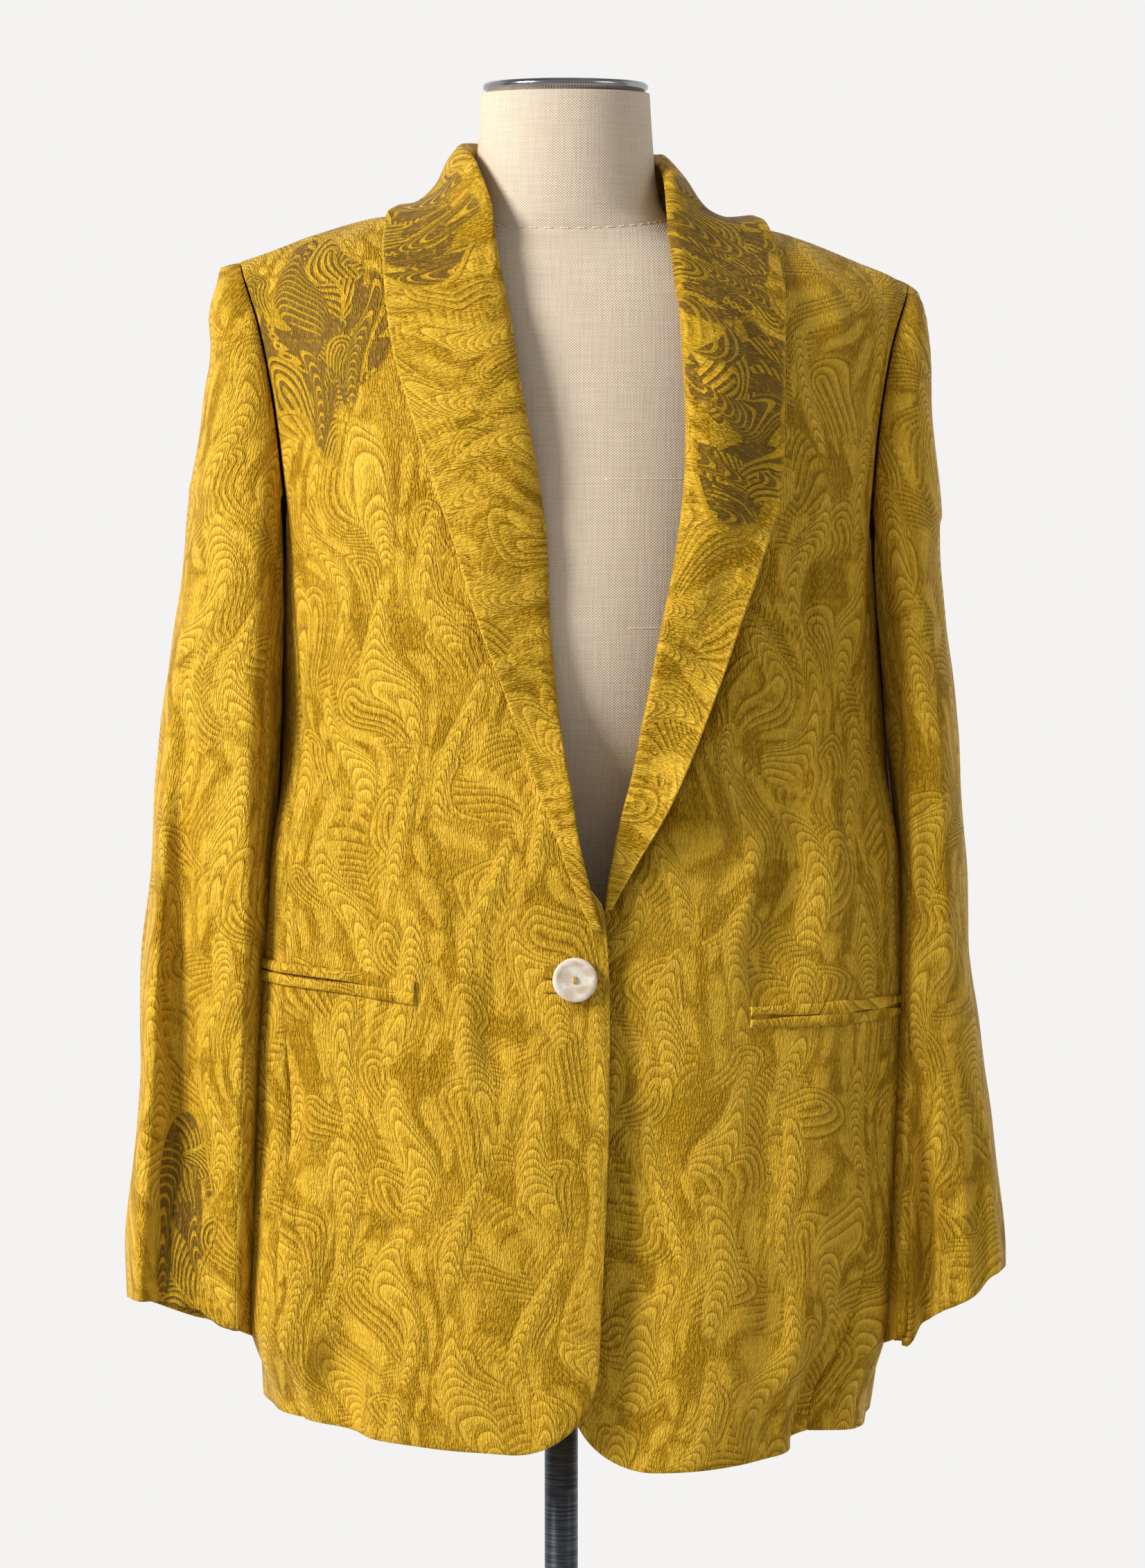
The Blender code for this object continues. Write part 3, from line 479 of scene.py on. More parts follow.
def front_lower_row(side, level):
    """A row of the front between the hem (level 0) and the notch (level 1)."""
    sign = SIGN[side]
    plain = HEM_SIDE + level * (NOTCH - HEM_SIDE)
    half = read(BODY, "half_width", plain)
    edge = sign * (inner_edge(side, plain) - read(BODY, "centre", plain))
    start = math.asin(power(edge / half, 1 / FRONT_POWER))
    stop = math.radians(read(BODY, "front_seam", plain)) - SEAM_TRIM
    row = []
    for f in steps(FRONT_COLUMNS):
        angle = start + (stop - start) * f ** FRONT_EASE
        across = half * power(math.sin(angle), FRONT_POWER)
        hem = hem_height(side, across - edge, (angle - start) / (stop - start))
        row.append(hang(ring_point(side, angle, hem + level * (NOTCH - hem)), sign))
    return row


def front_upper_row(side, rise):
    """A row of the front between the notch (rise 0) and the shoulder seam (rise 1)."""
    sign = SIGN[side]
    up = math.sin(rise * math.pi / 2)
    edge_x = read(ARMHOLE, "front_x", rise, "rise") - SEAM_GAP / 2
    near_neck = NOTCH + (NECK_TOP - SHOULDER_SLOPE * NECK_POINT - NOTCH) * up
    roll = sign * (inner_edge(side, near_neck) - read(BODY, "centre", near_neck))
    inner = roll + (NECK_POINT - roll) * up ** NECK_TURN
    start = math.asin(power(inner / edge_x * NOTCH_ACROSS, 1 / FRONT_POWER))
    row = []
    for f in steps(FRONT_COLUMNS):
        angle = start + (FRONT_NOTCH - start) * f ** FRONT_EASE
        across = edge_x * power(math.sin(angle), FRONT_POWER) / NOTCH_ACROSS
        row.append(hang(front_upper(side, across, rise), sign))
    return row


def front_grid(side):
    lower = [front_lower_row(side, level) for level in steps(LOWER_ROWS)]
    return lower + [front_upper_row(side, rise) for rise in steps(UPPER_ROWS)[1:]]


def side_grid(side):
    sign = SIGN[side]
    grid = []
    for level in steps(LOWER_ROWS):
        row = []
        for f in steps(SIDE_COLUMNS):
            top = NOTCH - UNDERARM_DIP * math.sin(math.pi * f) ** UNDERARM_ROUND
            height = HEM_SIDE + level * (top - HEM_SIDE)
            start = math.radians(read(BODY, "front_seam", height)) + SEAM_TRIM
            stop = math.pi - math.radians(read(BODY, "back_seam", height)) - SEAM_TRIM
            row.append(hang(ring_point(side, start + (stop - start) * f, height), sign))
        grid.append(row)
    return grid


def back_lower_row(level):
    height = HEM_SIDE + level * (NOTCH - HEM_SIDE)
    reach = math.radians(read(BODY, "back_seam", height)) - SEAM_TRIM
    half = read(BODY, "half_width", height)
    depth = read(BODY, "back", height)
    row = []
    for f in steps(BACK_COLUMNS):
        angle = reach * (1 - 2 * f)
        across = half * power(math.sin(angle), BACK_POWER)
        row.append(hang((across, depth * math.cos(angle) ** BACK_POWER, height)))
    return row


def back_upper_row(level):
    """A row of the back above the notches, lower at the neck than at the shoulders."""
    row = []
    for f in steps(BACK_COLUMNS):
        share = power(math.sin(BACK_NOTCH * (1 - 2 * f)), BACK_POWER) / BACK_ACROSS
        inside = max(0, 1 - (abs(share) * SHOULDER_OUT / NECK_POINT) ** 2)
        rise = level * (1 - (1 - BACK_NECK_RISE) * math.sqrt(inside))
        row.append(hang(back_upper(share * (1 - SEAM_GAP / SHOULDER_OUT / 2), rise)))
    return row


def back_grid():
    lower = [back_lower_row(level) for level in steps(LOWER_ROWS)]
    return lower + [back_upper_row(level) for level in steps(UPPER_ROWS)[1:]]


def sleeve_fold(side, turn, height):
    depth = 0
    for fold in SLEEVE_FOLDS:
        if fold["side"] == side and fold["low"] < height < fold["high"]:
            along = window((2 * height - fold["low"] - fold["high"]) / (fold["high"] - fold["low"]))
            off = (math.degrees(turn) - fold["turn"] + 180) % 360 - 180
            depth += fold["depth"] * along * window(off / fold["half_width"])
    return depth


def sleeve_ring(side, turn, height):
    """The sleeve below the notches. Turn 0 is the outer side, -90 degrees the front."""
    sizes = SLEEVE[side]
    inner = read(sizes, "inner", height)
    outer = read(sizes, "outer", height)
    front = read(sizes, "front", height)
    back = read(sizes, "back", height)
    fold = sleeve_fold(side, turn, height)
    x = (inner + outer) / 2 + power(math.cos(turn), FRONT_POWER) * (outer - inner) / 2
    y = (front + back) / 2 + power(math.sin(turn), FRONT_POWER) * (back - front) / 2
    return Vector((SIGN[side] * (x - fold * math.cos(turn)), y - fold * math.sin(turn), height))


def armhole_edge(side, edge, rise):
    """The sleeve's side of the armhole seam, at the front or the back."""
    x = read(ARMHOLE, edge + "_x", rise, "rise") + ARMHOLE_GAP
    height = NOTCH + (SHOULDER - NOTCH) * math.sin(rise * math.pi / 2)
    return hang((x, read(ARMHOLE, edge + "_y", rise, "rise"), height), SIGN[side])


def clear_of_body(side, point):
    """A sleeve point kept just outside the body cloth beside it."""
    sign = SIGN[side]
    height = point.z + LEAN * point.x
    depth = read(BODY, "front", height)
    square = SQUARE_FRONT
    if point.y > 0:
        depth = read(BODY, "back", height)
        square = SQUARE_BACK
    across = (1 - min(1, abs(point.y) / depth) ** square) ** (1 / square)
    side_x = read(BODY, "half_width", height) * across + SLEEVE_CLEAR
    centre = read(BODY, "centre", height)
    point.x = centre + sign * max(sign * (point.x - centre), side_x)
    return point


def sleeve_point(side, turn, level, dip=0.0):
    """A ring point between the cuff (level 0) and the notches (level 1), drawn to the notches."""
    cuff = CUFF[side]["middle"] + CUFF[side]["outer_rise"] * math.cos(turn)
    cuff -= CUFF[side]["front_rise"] * math.sin(turn)
    top = NOTCH - LEAN * SIGN[side] * read(SLEEVE[side], "outer", NOTCH) - dip
    point = sleeve_ring(side, turn, cuff + level * (top - cuff))
    draw = max(0, (level - SLEEVE_DRAW_FROM) / (1 - SLEEVE_DRAW_FROM)) ** 2
    seam = math.radians(SLEEVE_SEAM)
    to_front = armhole_edge(side, "front", 0) - sleeve_ring(side, -seam, NOTCH)
    to_back = armhole_edge(side, "back", 0) - sleeve_ring(side, seam, NOTCH)
    to_front.z = 0
    to_back.z = 0
    toward_back = 0.5 + 0.5 * math.sin(turn) / math.sin(seam)
    reach = max(0, min(1, (1 - math.cos(turn)) / (1 - math.cos(seam))))
    return clear_of_body(side, point + to_front.lerp(to_back, toward_back) * draw * reach)


def sleeve_head_row(side, rise):
    """A row of the sleeve's head, from the front of the armhole over the crown to its back."""
    front = armhole_edge(side, "front", rise)
    back = armhole_edge(side, "back", rise)
    notch_top = NOTCH - LEAN * SIGN[side] * read(SLEEVE[side], "outer", NOTCH)
    crown_z = notch_top + (SLEEVE_HEAD_TOP[side] - notch_top) * math.sin(rise * math.pi / 2)
    middle = (front + back) / 2
    crown = Vector((SIGN[side] * read(SLEEVE_HEAD[side], "outer", crown_z), middle.y, crown_z))
    reach = math.radians(SLEEVE_SEAM - SLEEVE_HEAD_CLOSE * rise)
    end = power(math.cos(reach), FRONT_POWER)
    row = []
    for f in steps(TOP_SLEEVE_COLUMNS):
        turn = reach * (2 * f - 1)
        along = power(math.sin(turn), FRONT_POWER) / math.sin(reach) ** FRONT_POWER
        out = (power(math.cos(turn), FRONT_POWER) - end) / (1 - end)
        row.append(middle + (back - front) / 2 * along + (crown - middle) * out)
    return row


def top_sleeve_grid(side):
    seam = math.radians(SLEEVE_SEAM) - SLEEVE_TRIM
    turns = [seam * (2 * f - 1) for f in steps(TOP_SLEEVE_COLUMNS)]
    lower = [[sleeve_point(side, turn, level) for turn in turns] for level in steps(LOWER_ROWS)]
    return lower + [sleeve_head_row(side, rise * SLEEVE_HEAD_END) for rise in steps(UPPER_ROWS)[1:]]


def under_sleeve_grid(side):
    seam = math.radians(SLEEVE_SEAM) + SLEEVE_TRIM
    grid = []
    for level in steps(LOWER_ROWS):
        row = []
        for f in steps(UNDER_SLEEVE_COLUMNS):
            turn = seam + (2 * math.pi - 2 * seam) * f
            dip = UNDERARM_DIP * math.sin(math.pi * f) ** UNDERARM_ROUND
            row.append(sleeve_point(side, turn, level, dip))
        grid.append(row)
    return grid


def collar_neck_row(row):
    """One section of the collar round the neck, from the stand's foot over the roll to the edge."""
    foot = Vector((row["foot_x"], row["foot_y"], row["foot_z"]))
    roll = Vector((row["roll_x"], row["roll_y"], row["roll_z"]))
    edge = Vector((row["edge_x"], row["edge_y"], row["edge_z"]))
    outward = Vector((edge.x - foot.x, edge.y - foot.y, 0)).normalized()
    up = Vector((0, 0, 1))
    over = roll + outward * COLLAR_ROLL * 2
    stand = [foot, (foot + roll) / 2, roll - up * COLLAR_ROLL, roll + outward * COLLAR_ROLL]
    fall = [over.lerp(edge, spot["share"]) - up * row["sag"] * spot["sag"] for spot in COLLAR_FALL]
    return stand + fall + [edge]


def lapel_row(side, z):
    """One section of the lapel on its front, from under the roll line to the outer edge."""
    roll = read(LAPEL[side], "roll", z)
    width = read(LAPEL[side], "edge", z) - roll
    wide = min(1, abs(width) / LAPEL_WIDE) ** 2
    row = []
    for spot in LAPEL_PROFILE:
        lift = spot["narrow_lift"] + (spot["lift"] - spot["narrow_lift"]) * wide
        row.append(on_front(side, roll + width * spot["share"], z, lift, folded=False))
    return row


def collar_grid(side):
    """The lapel on its front, then the collar round the neck to its seam at the back."""
    low = LAPEL[side][0]["height"]
    high = LAPEL[side][-1]["height"]
    grid = [lapel_row(side, low + (high - low) * f) for f in steps(LAPEL_ROWS)]
    keys = [collar_neck_row(row) for row in COLLAR_NECK[side]]
    seam = keys[-1][0].x
    beyond = [Vector((2 * seam - point.x, point.y, point.z)) for point in keys[-2]]
    chain = [grid[-2], grid[-1]] + keys + [beyond]
    for before, start, end, after in zip(chain, chain[1:], chain[2:], chain[3:]):
        for f in steps(NECK_STEPS)[1:]:
            grid.append([bend(b, s, e, a, f) for b, s, e, a in zip(before, start, end, after)])
    return grid


def bend(before, start, end, after, f):
    """A point of the smooth curve through four points, between the middle two."""
    leave = (end - before) / 2
    arrive = (after - start) / 2
    ease = f * f * (3 - 2 * f)
    return start.lerp(end, ease) + leave * f * (1 - f) ** 2 - arrive * f * f * (1 - f)


# Fine shape of the cloth: creases as lines of the front view, with ridges of positive depth

CREASE_COLUMNS = "x0 z0 x1 z1 half_width depth"
CREASES = table(
    CREASE_COLUMNS,
    (-151, 800, -151, 735, 6, 2.2),
    (-136, 785, -136, 752, 8, -3.0),
    (151, 1320, 147, 1030, 14, 4.5),
    (151, 1290, 146, 1050, 4, 1.6),
    (147, 1275, 140, 1120, 4, -1.6),
    (142, 1265, 132, 1125, 5, 2.2),
    (132, 1130, 104, 1020, 6, 3.4),
    (118, 1140, 92, 1040, 9, -2.6),
    (-57, 1010, -53, 915, 8, 2.6),
    (-41, 1005, -38, 920, 9, -3.2),
    (-156, 975, -156, 815, 3, -3.5),
    (-165, 970, -163, 780, 7, 3.0),
    (155, 762, 138, 710, 6, 3.2),
    (126, 752, 128, 716, 7, -3.0),
    (-112, 1150, -60, 1010, 16, 1.6),
    (-150, 1230, -120, 1120, 10, -1.5),
    (-226, 825, -226, 810, 4, -2.2),
    (-205, 1367, -198, 1348, 9, -2.6),
    (238, 876, 247, 790, 6, 2.4),
    (232, 1010, 250, 930, 9, 1.8),
    (-240, 1010, -222, 960, 10, -1.8),
    (-246, 960, -214, 915, 9, 1.6),
)
# Long folds of single pieces, which stand out to the front or lie back
FOLDS = {
    "sleeve_right": table(
        CREASE_COLUMNS,
        (-172, 1330, -192, 700, 11, 13),
        (-229, 1220, -266, 580, 8, 12),
        (-229, 1220, -214, 580, 12, -14),
        (-184, 1330, -190, 600, 15, 11),
    ),
    "sleeve_left": table(
        CREASE_COLUMNS,
        (207, 1220, 200, 600, 12, 7),
        (240, 1220, 236, 600, 20, -9),
    ),
    "front_left": table(
        CREASE_COLUMNS,
        (130, 1275, 8, 998, 9, -13),
        (10, 1060, 10, 560, 60, -12),
    ),
}
# Where the cuffs' edges hang lower, or higher, than the rest of the edge
CUFF_DROPS = table(
    "x half_width drop",
    (204, 10, 9),
    (264, 11, -7),
    (-205, 9, 3),
)
CUFF_REACH = 45.0
CREASE_FRONT = 35
CREASE_TAPER = 1.25
BACK_CREASES = table(
    CREASE_COLUMNS,
    (-95, 1290, -70, 1130, 16, 2.6),
    (100, 1285, 78, 1120, 16, 2.6),
    (-30, 1010, -45, 760, 22, 3.0),
    (52, 990, 60, 745, 20, -3.0),
    (120, 930, 118, 735, 14, 2.4),
    (-125, 950, -122, 735, 15, -2.4),
    (0, 1380, 4, 1290, 18, -1.6),
)
UNEVEN_SEED = 7
UNEVEN_WAVES = 28
UNEVEN_SIZE = 0.32
UNEVEN_SHORTEST = 26
UNEVEN_LONGEST = 150
UNEVEN_DEEP = 0.8
UNEVEN_TALL = 0.45
SEAM_DIP = 0.5
SEAM_REACH = 2.2
SEAM_CALM = 14.0
ALLOWANCE = ((0.12, 0.5), (0.15, 2.0), (0.15, 6.0))
PUCKER = 0.55
PUCKER_LENGTH = 13.0
PUCKER_REACH = 16.0
PUCKER_SLANT = 0.7
PUCKER_WANDER = 1.5
PUCKER_WANDER_LENGTH = 17.0
PUCKER_CALM = 5.0
BUTTON_CALM = 40.0
FAR = 1000.0
TINY = 1e-9
HEM_FLUTTER = 1.3
HEM_WAVES = table("deep length start size", (1.3, 96, 0.6, 1), (-1, 57, 0, 0.6))
HEM_REACH = 60.0
# How far from a free edge the painted rim highlight reaches, in millimetres
LIT_RIM_REACH = 1.3
BACKWARD = np.array((0, 1, 0))
RIM_DRAW = 0.35

# The right lapel sinks along its roll line and bulges above the button. Pairs are where a share
# starts and where it is whole.
LAPEL_SINK = 17.0
LAPEL_REACH = 27.0
SINK_LOW = (1085, 1180)
SINK_HIGH = (1450, 1390)
LAPEL_BULGE = 15.0
BULGE_HEIGHT = 1088
BULGE_TALL = 48.0
BULGE_REACH = 46.0

# The left lapel stands off at its outer edge, and higher up where it rolls over
LAPEL_LIFT = 15.0
LIFT_LOW = (1050, 1120)
LIFT_HIGH = (1340, 1240)
LAPEL_ROLL = 9.0
ROLL_LOW = (1170, 1230)
ROLL_HIGH = (1420, 1370)
ROLL_AT = 0.42
ROLL_REACH = 0.28

# The front corners of the body stand further out, and on the right further forward
BROADER = 12.0
FULLER = 12.0
CORNER_OUT = (115, 160)
CORNER_FORWARD = (22, 62)
CORNER_LOW = (735, 790)
CORNER_HIGH = (1150, 1060)

# How the jacquard's motifs wander, and the slow field that picks their ground
WANDER_SEED = 11
WANDER_WAVES = 7
WANDER_SHORTEST = 0.7
WANDER_SPREAD = 0.8
WANDER_LENGTH = 85
WANDER_SIZE = 6.0
FIELD_WIDE = 36
FIELD_TALL = 90
FIELD_SIZE = 0.11
FIELD_MIDDLE = 0.5


def as_array(grid):
    return np.array([[tuple(point) for point in row] for row in grid])


def doubled(points, axis):
    """The grid with a point of the smooth curve added between each two neighbours."""
    p = np.moveaxis(points, axis, 0)
    longer = np.concatenate([[2 * p[0] - p[1]], p, [2 * p[-1] - p[-2]]])
    made = np.empty((2 * len(p) - 1, *p.shape[1:]))
    made[::2] = p
    made[1::2] = (9 * (p[:-1] + p[1:]) - longer[:-3] - longer[3:]) / 16
    return np.moveaxis(made, 0, axis)


def respaced(row, count):
    """Points at even distances along the smooth curve through a row of points."""
    at = np.concatenate([[0], np.cumsum(np.linalg.norm(np.diff(row, axis=0), axis=1))])
    slope = np.gradient(row, at, axis=0)
    wanted = np.linspace(0, at[-1], count)
    i = np.clip(np.searchsorted(at, wanted, side="right") - 1, 0, len(at) - 2)
    span = (at[i + 1] - at[i])[:, None]
    f = (wanted - at[i])[:, None] / span
    ease = f * f * (3 - 2 * f)
    bow = span * f * (1 - f) * ((1 - f) * slope[i] - f * slope[i + 1])
    return row[i] * (1 - ease) + row[i + 1] * ease + bow


def normals_of(points):
    along = np.gradient(points, axis=0)
    across = np.gradient(points, axis=1)
    normal = np.cross(across, along)
    return normal / np.maximum(np.linalg.norm(normal, axis=2, keepdims=True), TINY)


def lengths(points, axis):
    """Distance along each grid line from its start."""
    step = np.linalg.norm(np.diff(points, axis=axis), axis=2)
    start = np.zeros_like(np.take(step, [0], axis=axis))
    return np.concatenate([start, np.cumsum(step, axis=axis)], axis=axis)


UNEVEN = np.random.default_rng(UNEVEN_SEED)
WAVE_TURNS = UNEVEN.uniform(0, 2 * math.pi, UNEVEN_WAVES)
WAVE_STARTS = UNEVEN.uniform(0, 2 * math.pi, UNEVEN_WAVES)
WAVE_LENGTHS = np.geomspace(UNEVEN_SHORTEST, UNEVEN_LONGEST, UNEVEN_WAVES)


def unevenness(points):
    """The cloth's slight swells, longer upright than across, the same for layers that touch."""
    x, y, z = np.moveaxis(points, -1, 0)
    total = np.zeros_like(x)
    for turn, start, length in zip(WAVE_TURNS, WAVE_STARTS, WAVE_LENGTHS):
        flat = np.cos(turn) * (x + UNEVEN_DEEP * y)
        upright = np.sin(turn) * UNEVEN_TALL * z
        wave = np.sin(2 * math.pi * (flat + upright) / length + start)
        total += np.sqrt(length / UNEVEN_LONGEST) * wave
    return UNEVEN_SIZE * total


def creases(points, rows, facing):
    """Soft ridges and valleys along lines of the front view."""
    x, _, z = np.moveaxis(points, -1, 0)
    total = np.zeros_like(x)
    for row in rows:
        start = np.array((row["x0"], row["z0"]))
        way = np.array((row["x1"], row["z1"])) - start
        span = np.hypot(*way)
        along = ((x - start[0]) * way[0] + (z - start[1]) * way[1]) / span ** 2
        off = ((x - start[0]) * way[1] - (z - start[1]) * way[0]) / span
        reach = np.clip(2 * along - 1, -CREASE_TAPER, CREASE_TAPER) / CREASE_TAPER
        taper = np.cos(reach * math.pi / 2) ** 2
        total += row["depth"] * np.exp(-(off / row["half_width"]) ** 2) * taper
    return total * facing


def lapel_sink(points):
    """How far back the right front and lapel lie along the roll line, less their bulge."""
    x, _, z = np.moveaxis(points, -1, 0)
    rows = LAPEL["right"]
    roll = np.interp(z, [row["height"] for row in rows], [row["roll"] for row in rows])
    along = smooth_step(z, *SINK_LOW) * smooth_step(z, *SINK_HIGH)
    bulge = LAPEL_BULGE * near(z - BULGE_HEIGHT, BULGE_TALL) * near(x - roll, BULGE_REACH)
    return LAPEL_SINK * along * np.exp(-np.abs(x - roll) / LAPEL_REACH) - bulge


def folded(name, points):
    """The points of a piece with its own long folds."""
    facing = smooth_step(-points[..., 1], -CREASE_FRONT, CREASE_FRONT)
    rows = [row for piece, folds in FOLDS.items() if name.endswith(piece) for row in folds]
    return points - creases(points, rows, facing)[..., None] * BACKWARD


def lapel_lift(points):
    """How far the left lapel stands off at its outer edge and where it rolls over."""
    z = points[..., 2]
    across = lengths(points, 1)
    share = across / across[:, -1:]
    low = smooth_step(z, *LIFT_LOW) * smooth_step(z, *LIFT_HIGH)
    high = smooth_step(z, *ROLL_LOW) * smooth_step(z, *ROLL_HIGH)
    return LAPEL_LIFT * low * share ** 2 + LAPEL_ROLL * high * near(share - ROLL_AT, ROLL_REACH)


def broadened(points):
    """The points of a body piece with its front corners moved out to the sides and forward."""
    x, y, z = np.moveaxis(points, -1, 0)
    share = smooth_step(np.abs(x), *CORNER_OUT) * smooth_step(-y, *CORNER_FORWARD)
    share = share * smooth_step(z, *CORNER_HIGH) * smooth_step(z, *CORNER_LOW)
    return points + np.stack([BROADER * share * np.sign(x), -FULLER * share * (x < 0), 0 * z], axis=2)


def near(distance, reach):
    return np.exp(-(distance / reach) ** 2)


def smooth_step(value, low, high):
    share = np.clip((value - low) / (high - low), 0, 1)
    return share * share * (3 - 2 * share)


# Places where the jacquard's ground is left open and brown, in the front view
OPEN_COLUMNS = "x z wide tall"
OPEN_FRONT = (-30, 20)
OPEN_GROUND = {
    "front_right": table(OPEN_COLUMNS, (-140, 1376, 66, 58)),
    "shawl_collar_right": table(OPEN_COLUMNS, (-90, 1440, 46, 40)),
    "shawl_collar_left": table(OPEN_COLUMNS, (96, 1420, 44, 60), (108, 1327, 34, 92)),
    "top_sleeve_right": table(OPEN_COLUMNS, (-225, 857, 18, 70)),
}


def open_share(name, points):
    x, y, z = np.moveaxis(points, -1, 0)
    most = np.zeros_like(x)
    for row in OPEN_GROUND.get(name, ()):
        off = ((x - row["x"]) / row["wide"]) ** 2 + ((z - row["z"]) / row["tall"]) ** 2
        most = np.maximum(most, np.exp(-off))
    return most * smooth_step(-y, *OPEN_FRONT)


def build_mesh(name, points, faces):
    mesh = bpy.data.meshes.new(name)
    mesh.vertices.add(len(points))
    mesh.vertices.foreach_set("co", (np.asarray(points) * MM).ravel())
    counts = np.array([len(face) for face in faces])
    mesh.loops.add(int(counts.sum()))
    mesh.loops.foreach_set("vertex_index", np.concatenate(faces))
    mesh.polygons.add(len(faces))
    mesh.polygons.foreach_set("loop_start", np.concatenate([[0], np.cumsum(counts)[:-1]]))
    mesh.update(calc_edges=True)
    mesh.validate()
    mesh.shade_smooth()
    return mesh


def quads(first, second, third, fourth):
    return np.stack([first.ravel(), second.ravel(), third.ravel(), fourth.ravel()], axis=1)


def attribute(mesh, name, kind, key, values, domain="POINT"):
    made = mesh.attributes.new(name, kind, domain)
    made.data.foreach_set(key, np.asarray(values, dtype=np.float32).ravel())


def waves(random, u, v, wide, tall, size):
    """A smooth random sum of waves, whose usual size is given."""
    total = np.zeros_like(u)
    for _ in range(WANDER_WAVES):
        turn, length, start = random.uniform(0, 1, 3)
        turn *= 2 * math.pi
        share = math.cos(turn) * u / wide + math.sin(turn) * v / tall
        share /= WANDER_SHORTEST + WANDER_SPREAD * length
        total += np.sin(2 * math.pi * (share + start))
    return total * size * math.sqrt(2 / WANDER_WAVES)


def motif_places(u, v):
    """Where the motifs' lines wander to, and a slow share that picks their ground."""
    random = np.random.default_rng(WANDER_SEED)
    across = u + waves(random, u, v, WANDER_LENGTH, WANDER_LENGTH, WANDER_SIZE)
    upright = v + waves(random, u, v, WANDER_LENGTH, WANDER_LENGTH, WANDER_SIZE)
    field = FIELD_MIDDLE + waves(random, u, v, FIELD_WIDE, FIELD_TALL, FIELD_SIZE)
    return np.stack([across * MM, upright * MM, field], axis=1)


def rim_of(rows, columns):
    """The rows and the columns of the grid points round its edge, in order."""
    rim = [(0, c) for c in range(columns)]
    rim += [(r, columns - 1) for r in range(1, rows)]
    rim += [(rows - 1, c) for c in range(columns - 2, -1, -1)]
    rim += [(r, 0) for r in range(rows - 2, 0, -1)]
    return tuple(np.array(rim).T)


def pulled_in(points, draw):
    """The grid with its edges drawn in, so that the rim beside them is round."""
    pulled = points.copy()
    for axis, last in enumerate(points.shape[:2]):
        for end, beside in ((0, 1), (last - 1, last - 2)):
            way = np.take(points, beside, axis=axis) - np.take(points, end, axis=axis)
            span = np.maximum(np.linalg.norm(way, axis=1, keepdims=True), TINY)
            edge = (end,) if axis == 0 else (slice(None), end)
            pulled[edge] += way / span * np.minimum(draw, span / 2)
    return pulled


def wall(name, points, normal, grain, thickness):
    """A cloth wall: its outer grid, the grid moved in by the thickness, and a rounded rim between."""
    rows, columns = points.shape[:2]
    rim = rim_of(rows, columns)
    edge = points[rim] - normal[rim] * thickness / 2
    outer = pulled_in(points, RIM_DRAW * thickness)
    inner = outer - normal * thickness
    every = np.concatenate([outer.reshape(-1, 3), inner.reshape(-1, 3), edge])
    index = np.arange(rows * columns).reshape(rows, columns)
    below = index + rows * columns
    middle = 2 * rows * columns + np.arange(len(edge))
    after = np.roll(middle, -1)
    faces = np.concatenate([
        quads(index[:-1, :-1], index[:-1, 1:], index[1:, 1:], index[1:, :-1]),
        quads(below[:-1, :-1], below[1:, :-1], below[1:, 1:], below[:-1, 1:]),
        quads(np.roll(index[rim], -1), index[rim], middle, after),
        quads(after, middle, below[rim], np.roll(below[rim], -1)),
    ])
    outward = np.cross(points[0, 1] - points[0, 0], points[1, 0] - points[0, 0])
    if np.dot(outward, normal[0, 0]) < 0:
        faces = faces[:, ::-1]
    mesh = build_mesh(name, every, list(faces))
    flat = grain.reshape(-1, 4)
    u, v, opened, lit_rim = np.concatenate([flat, flat, grain[rim]]).T
    attribute(mesh, "grain", "FLOAT_VECTOR", "vector", np.stack([u, v, 0 * u], axis=1) * MM)
    attribute(mesh, "motif", "FLOAT_VECTOR", "vector", motif_places(u, v))
    attribute(mesh, "open", "FLOAT", "value", opened)
    # The edge attribute carries the painted rim highlight beside the free edges
    attribute(mesh, "edge", "FLOAT", "value", lit_rim)
    return mesh


def linked(name, data):
    made = bpy.data.objects.new(name, data)
    bpy.context.scene.collection.objects.link(made)
    return made


def place(name, mesh, finish, slot, *nodes):
    """A piece of the scene that stands for its solids."""
    mesh.materials.append(finish)
    made = linked(name, mesh)
    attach(made, "root")
    if nodes:
        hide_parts(*nodes)
    return made


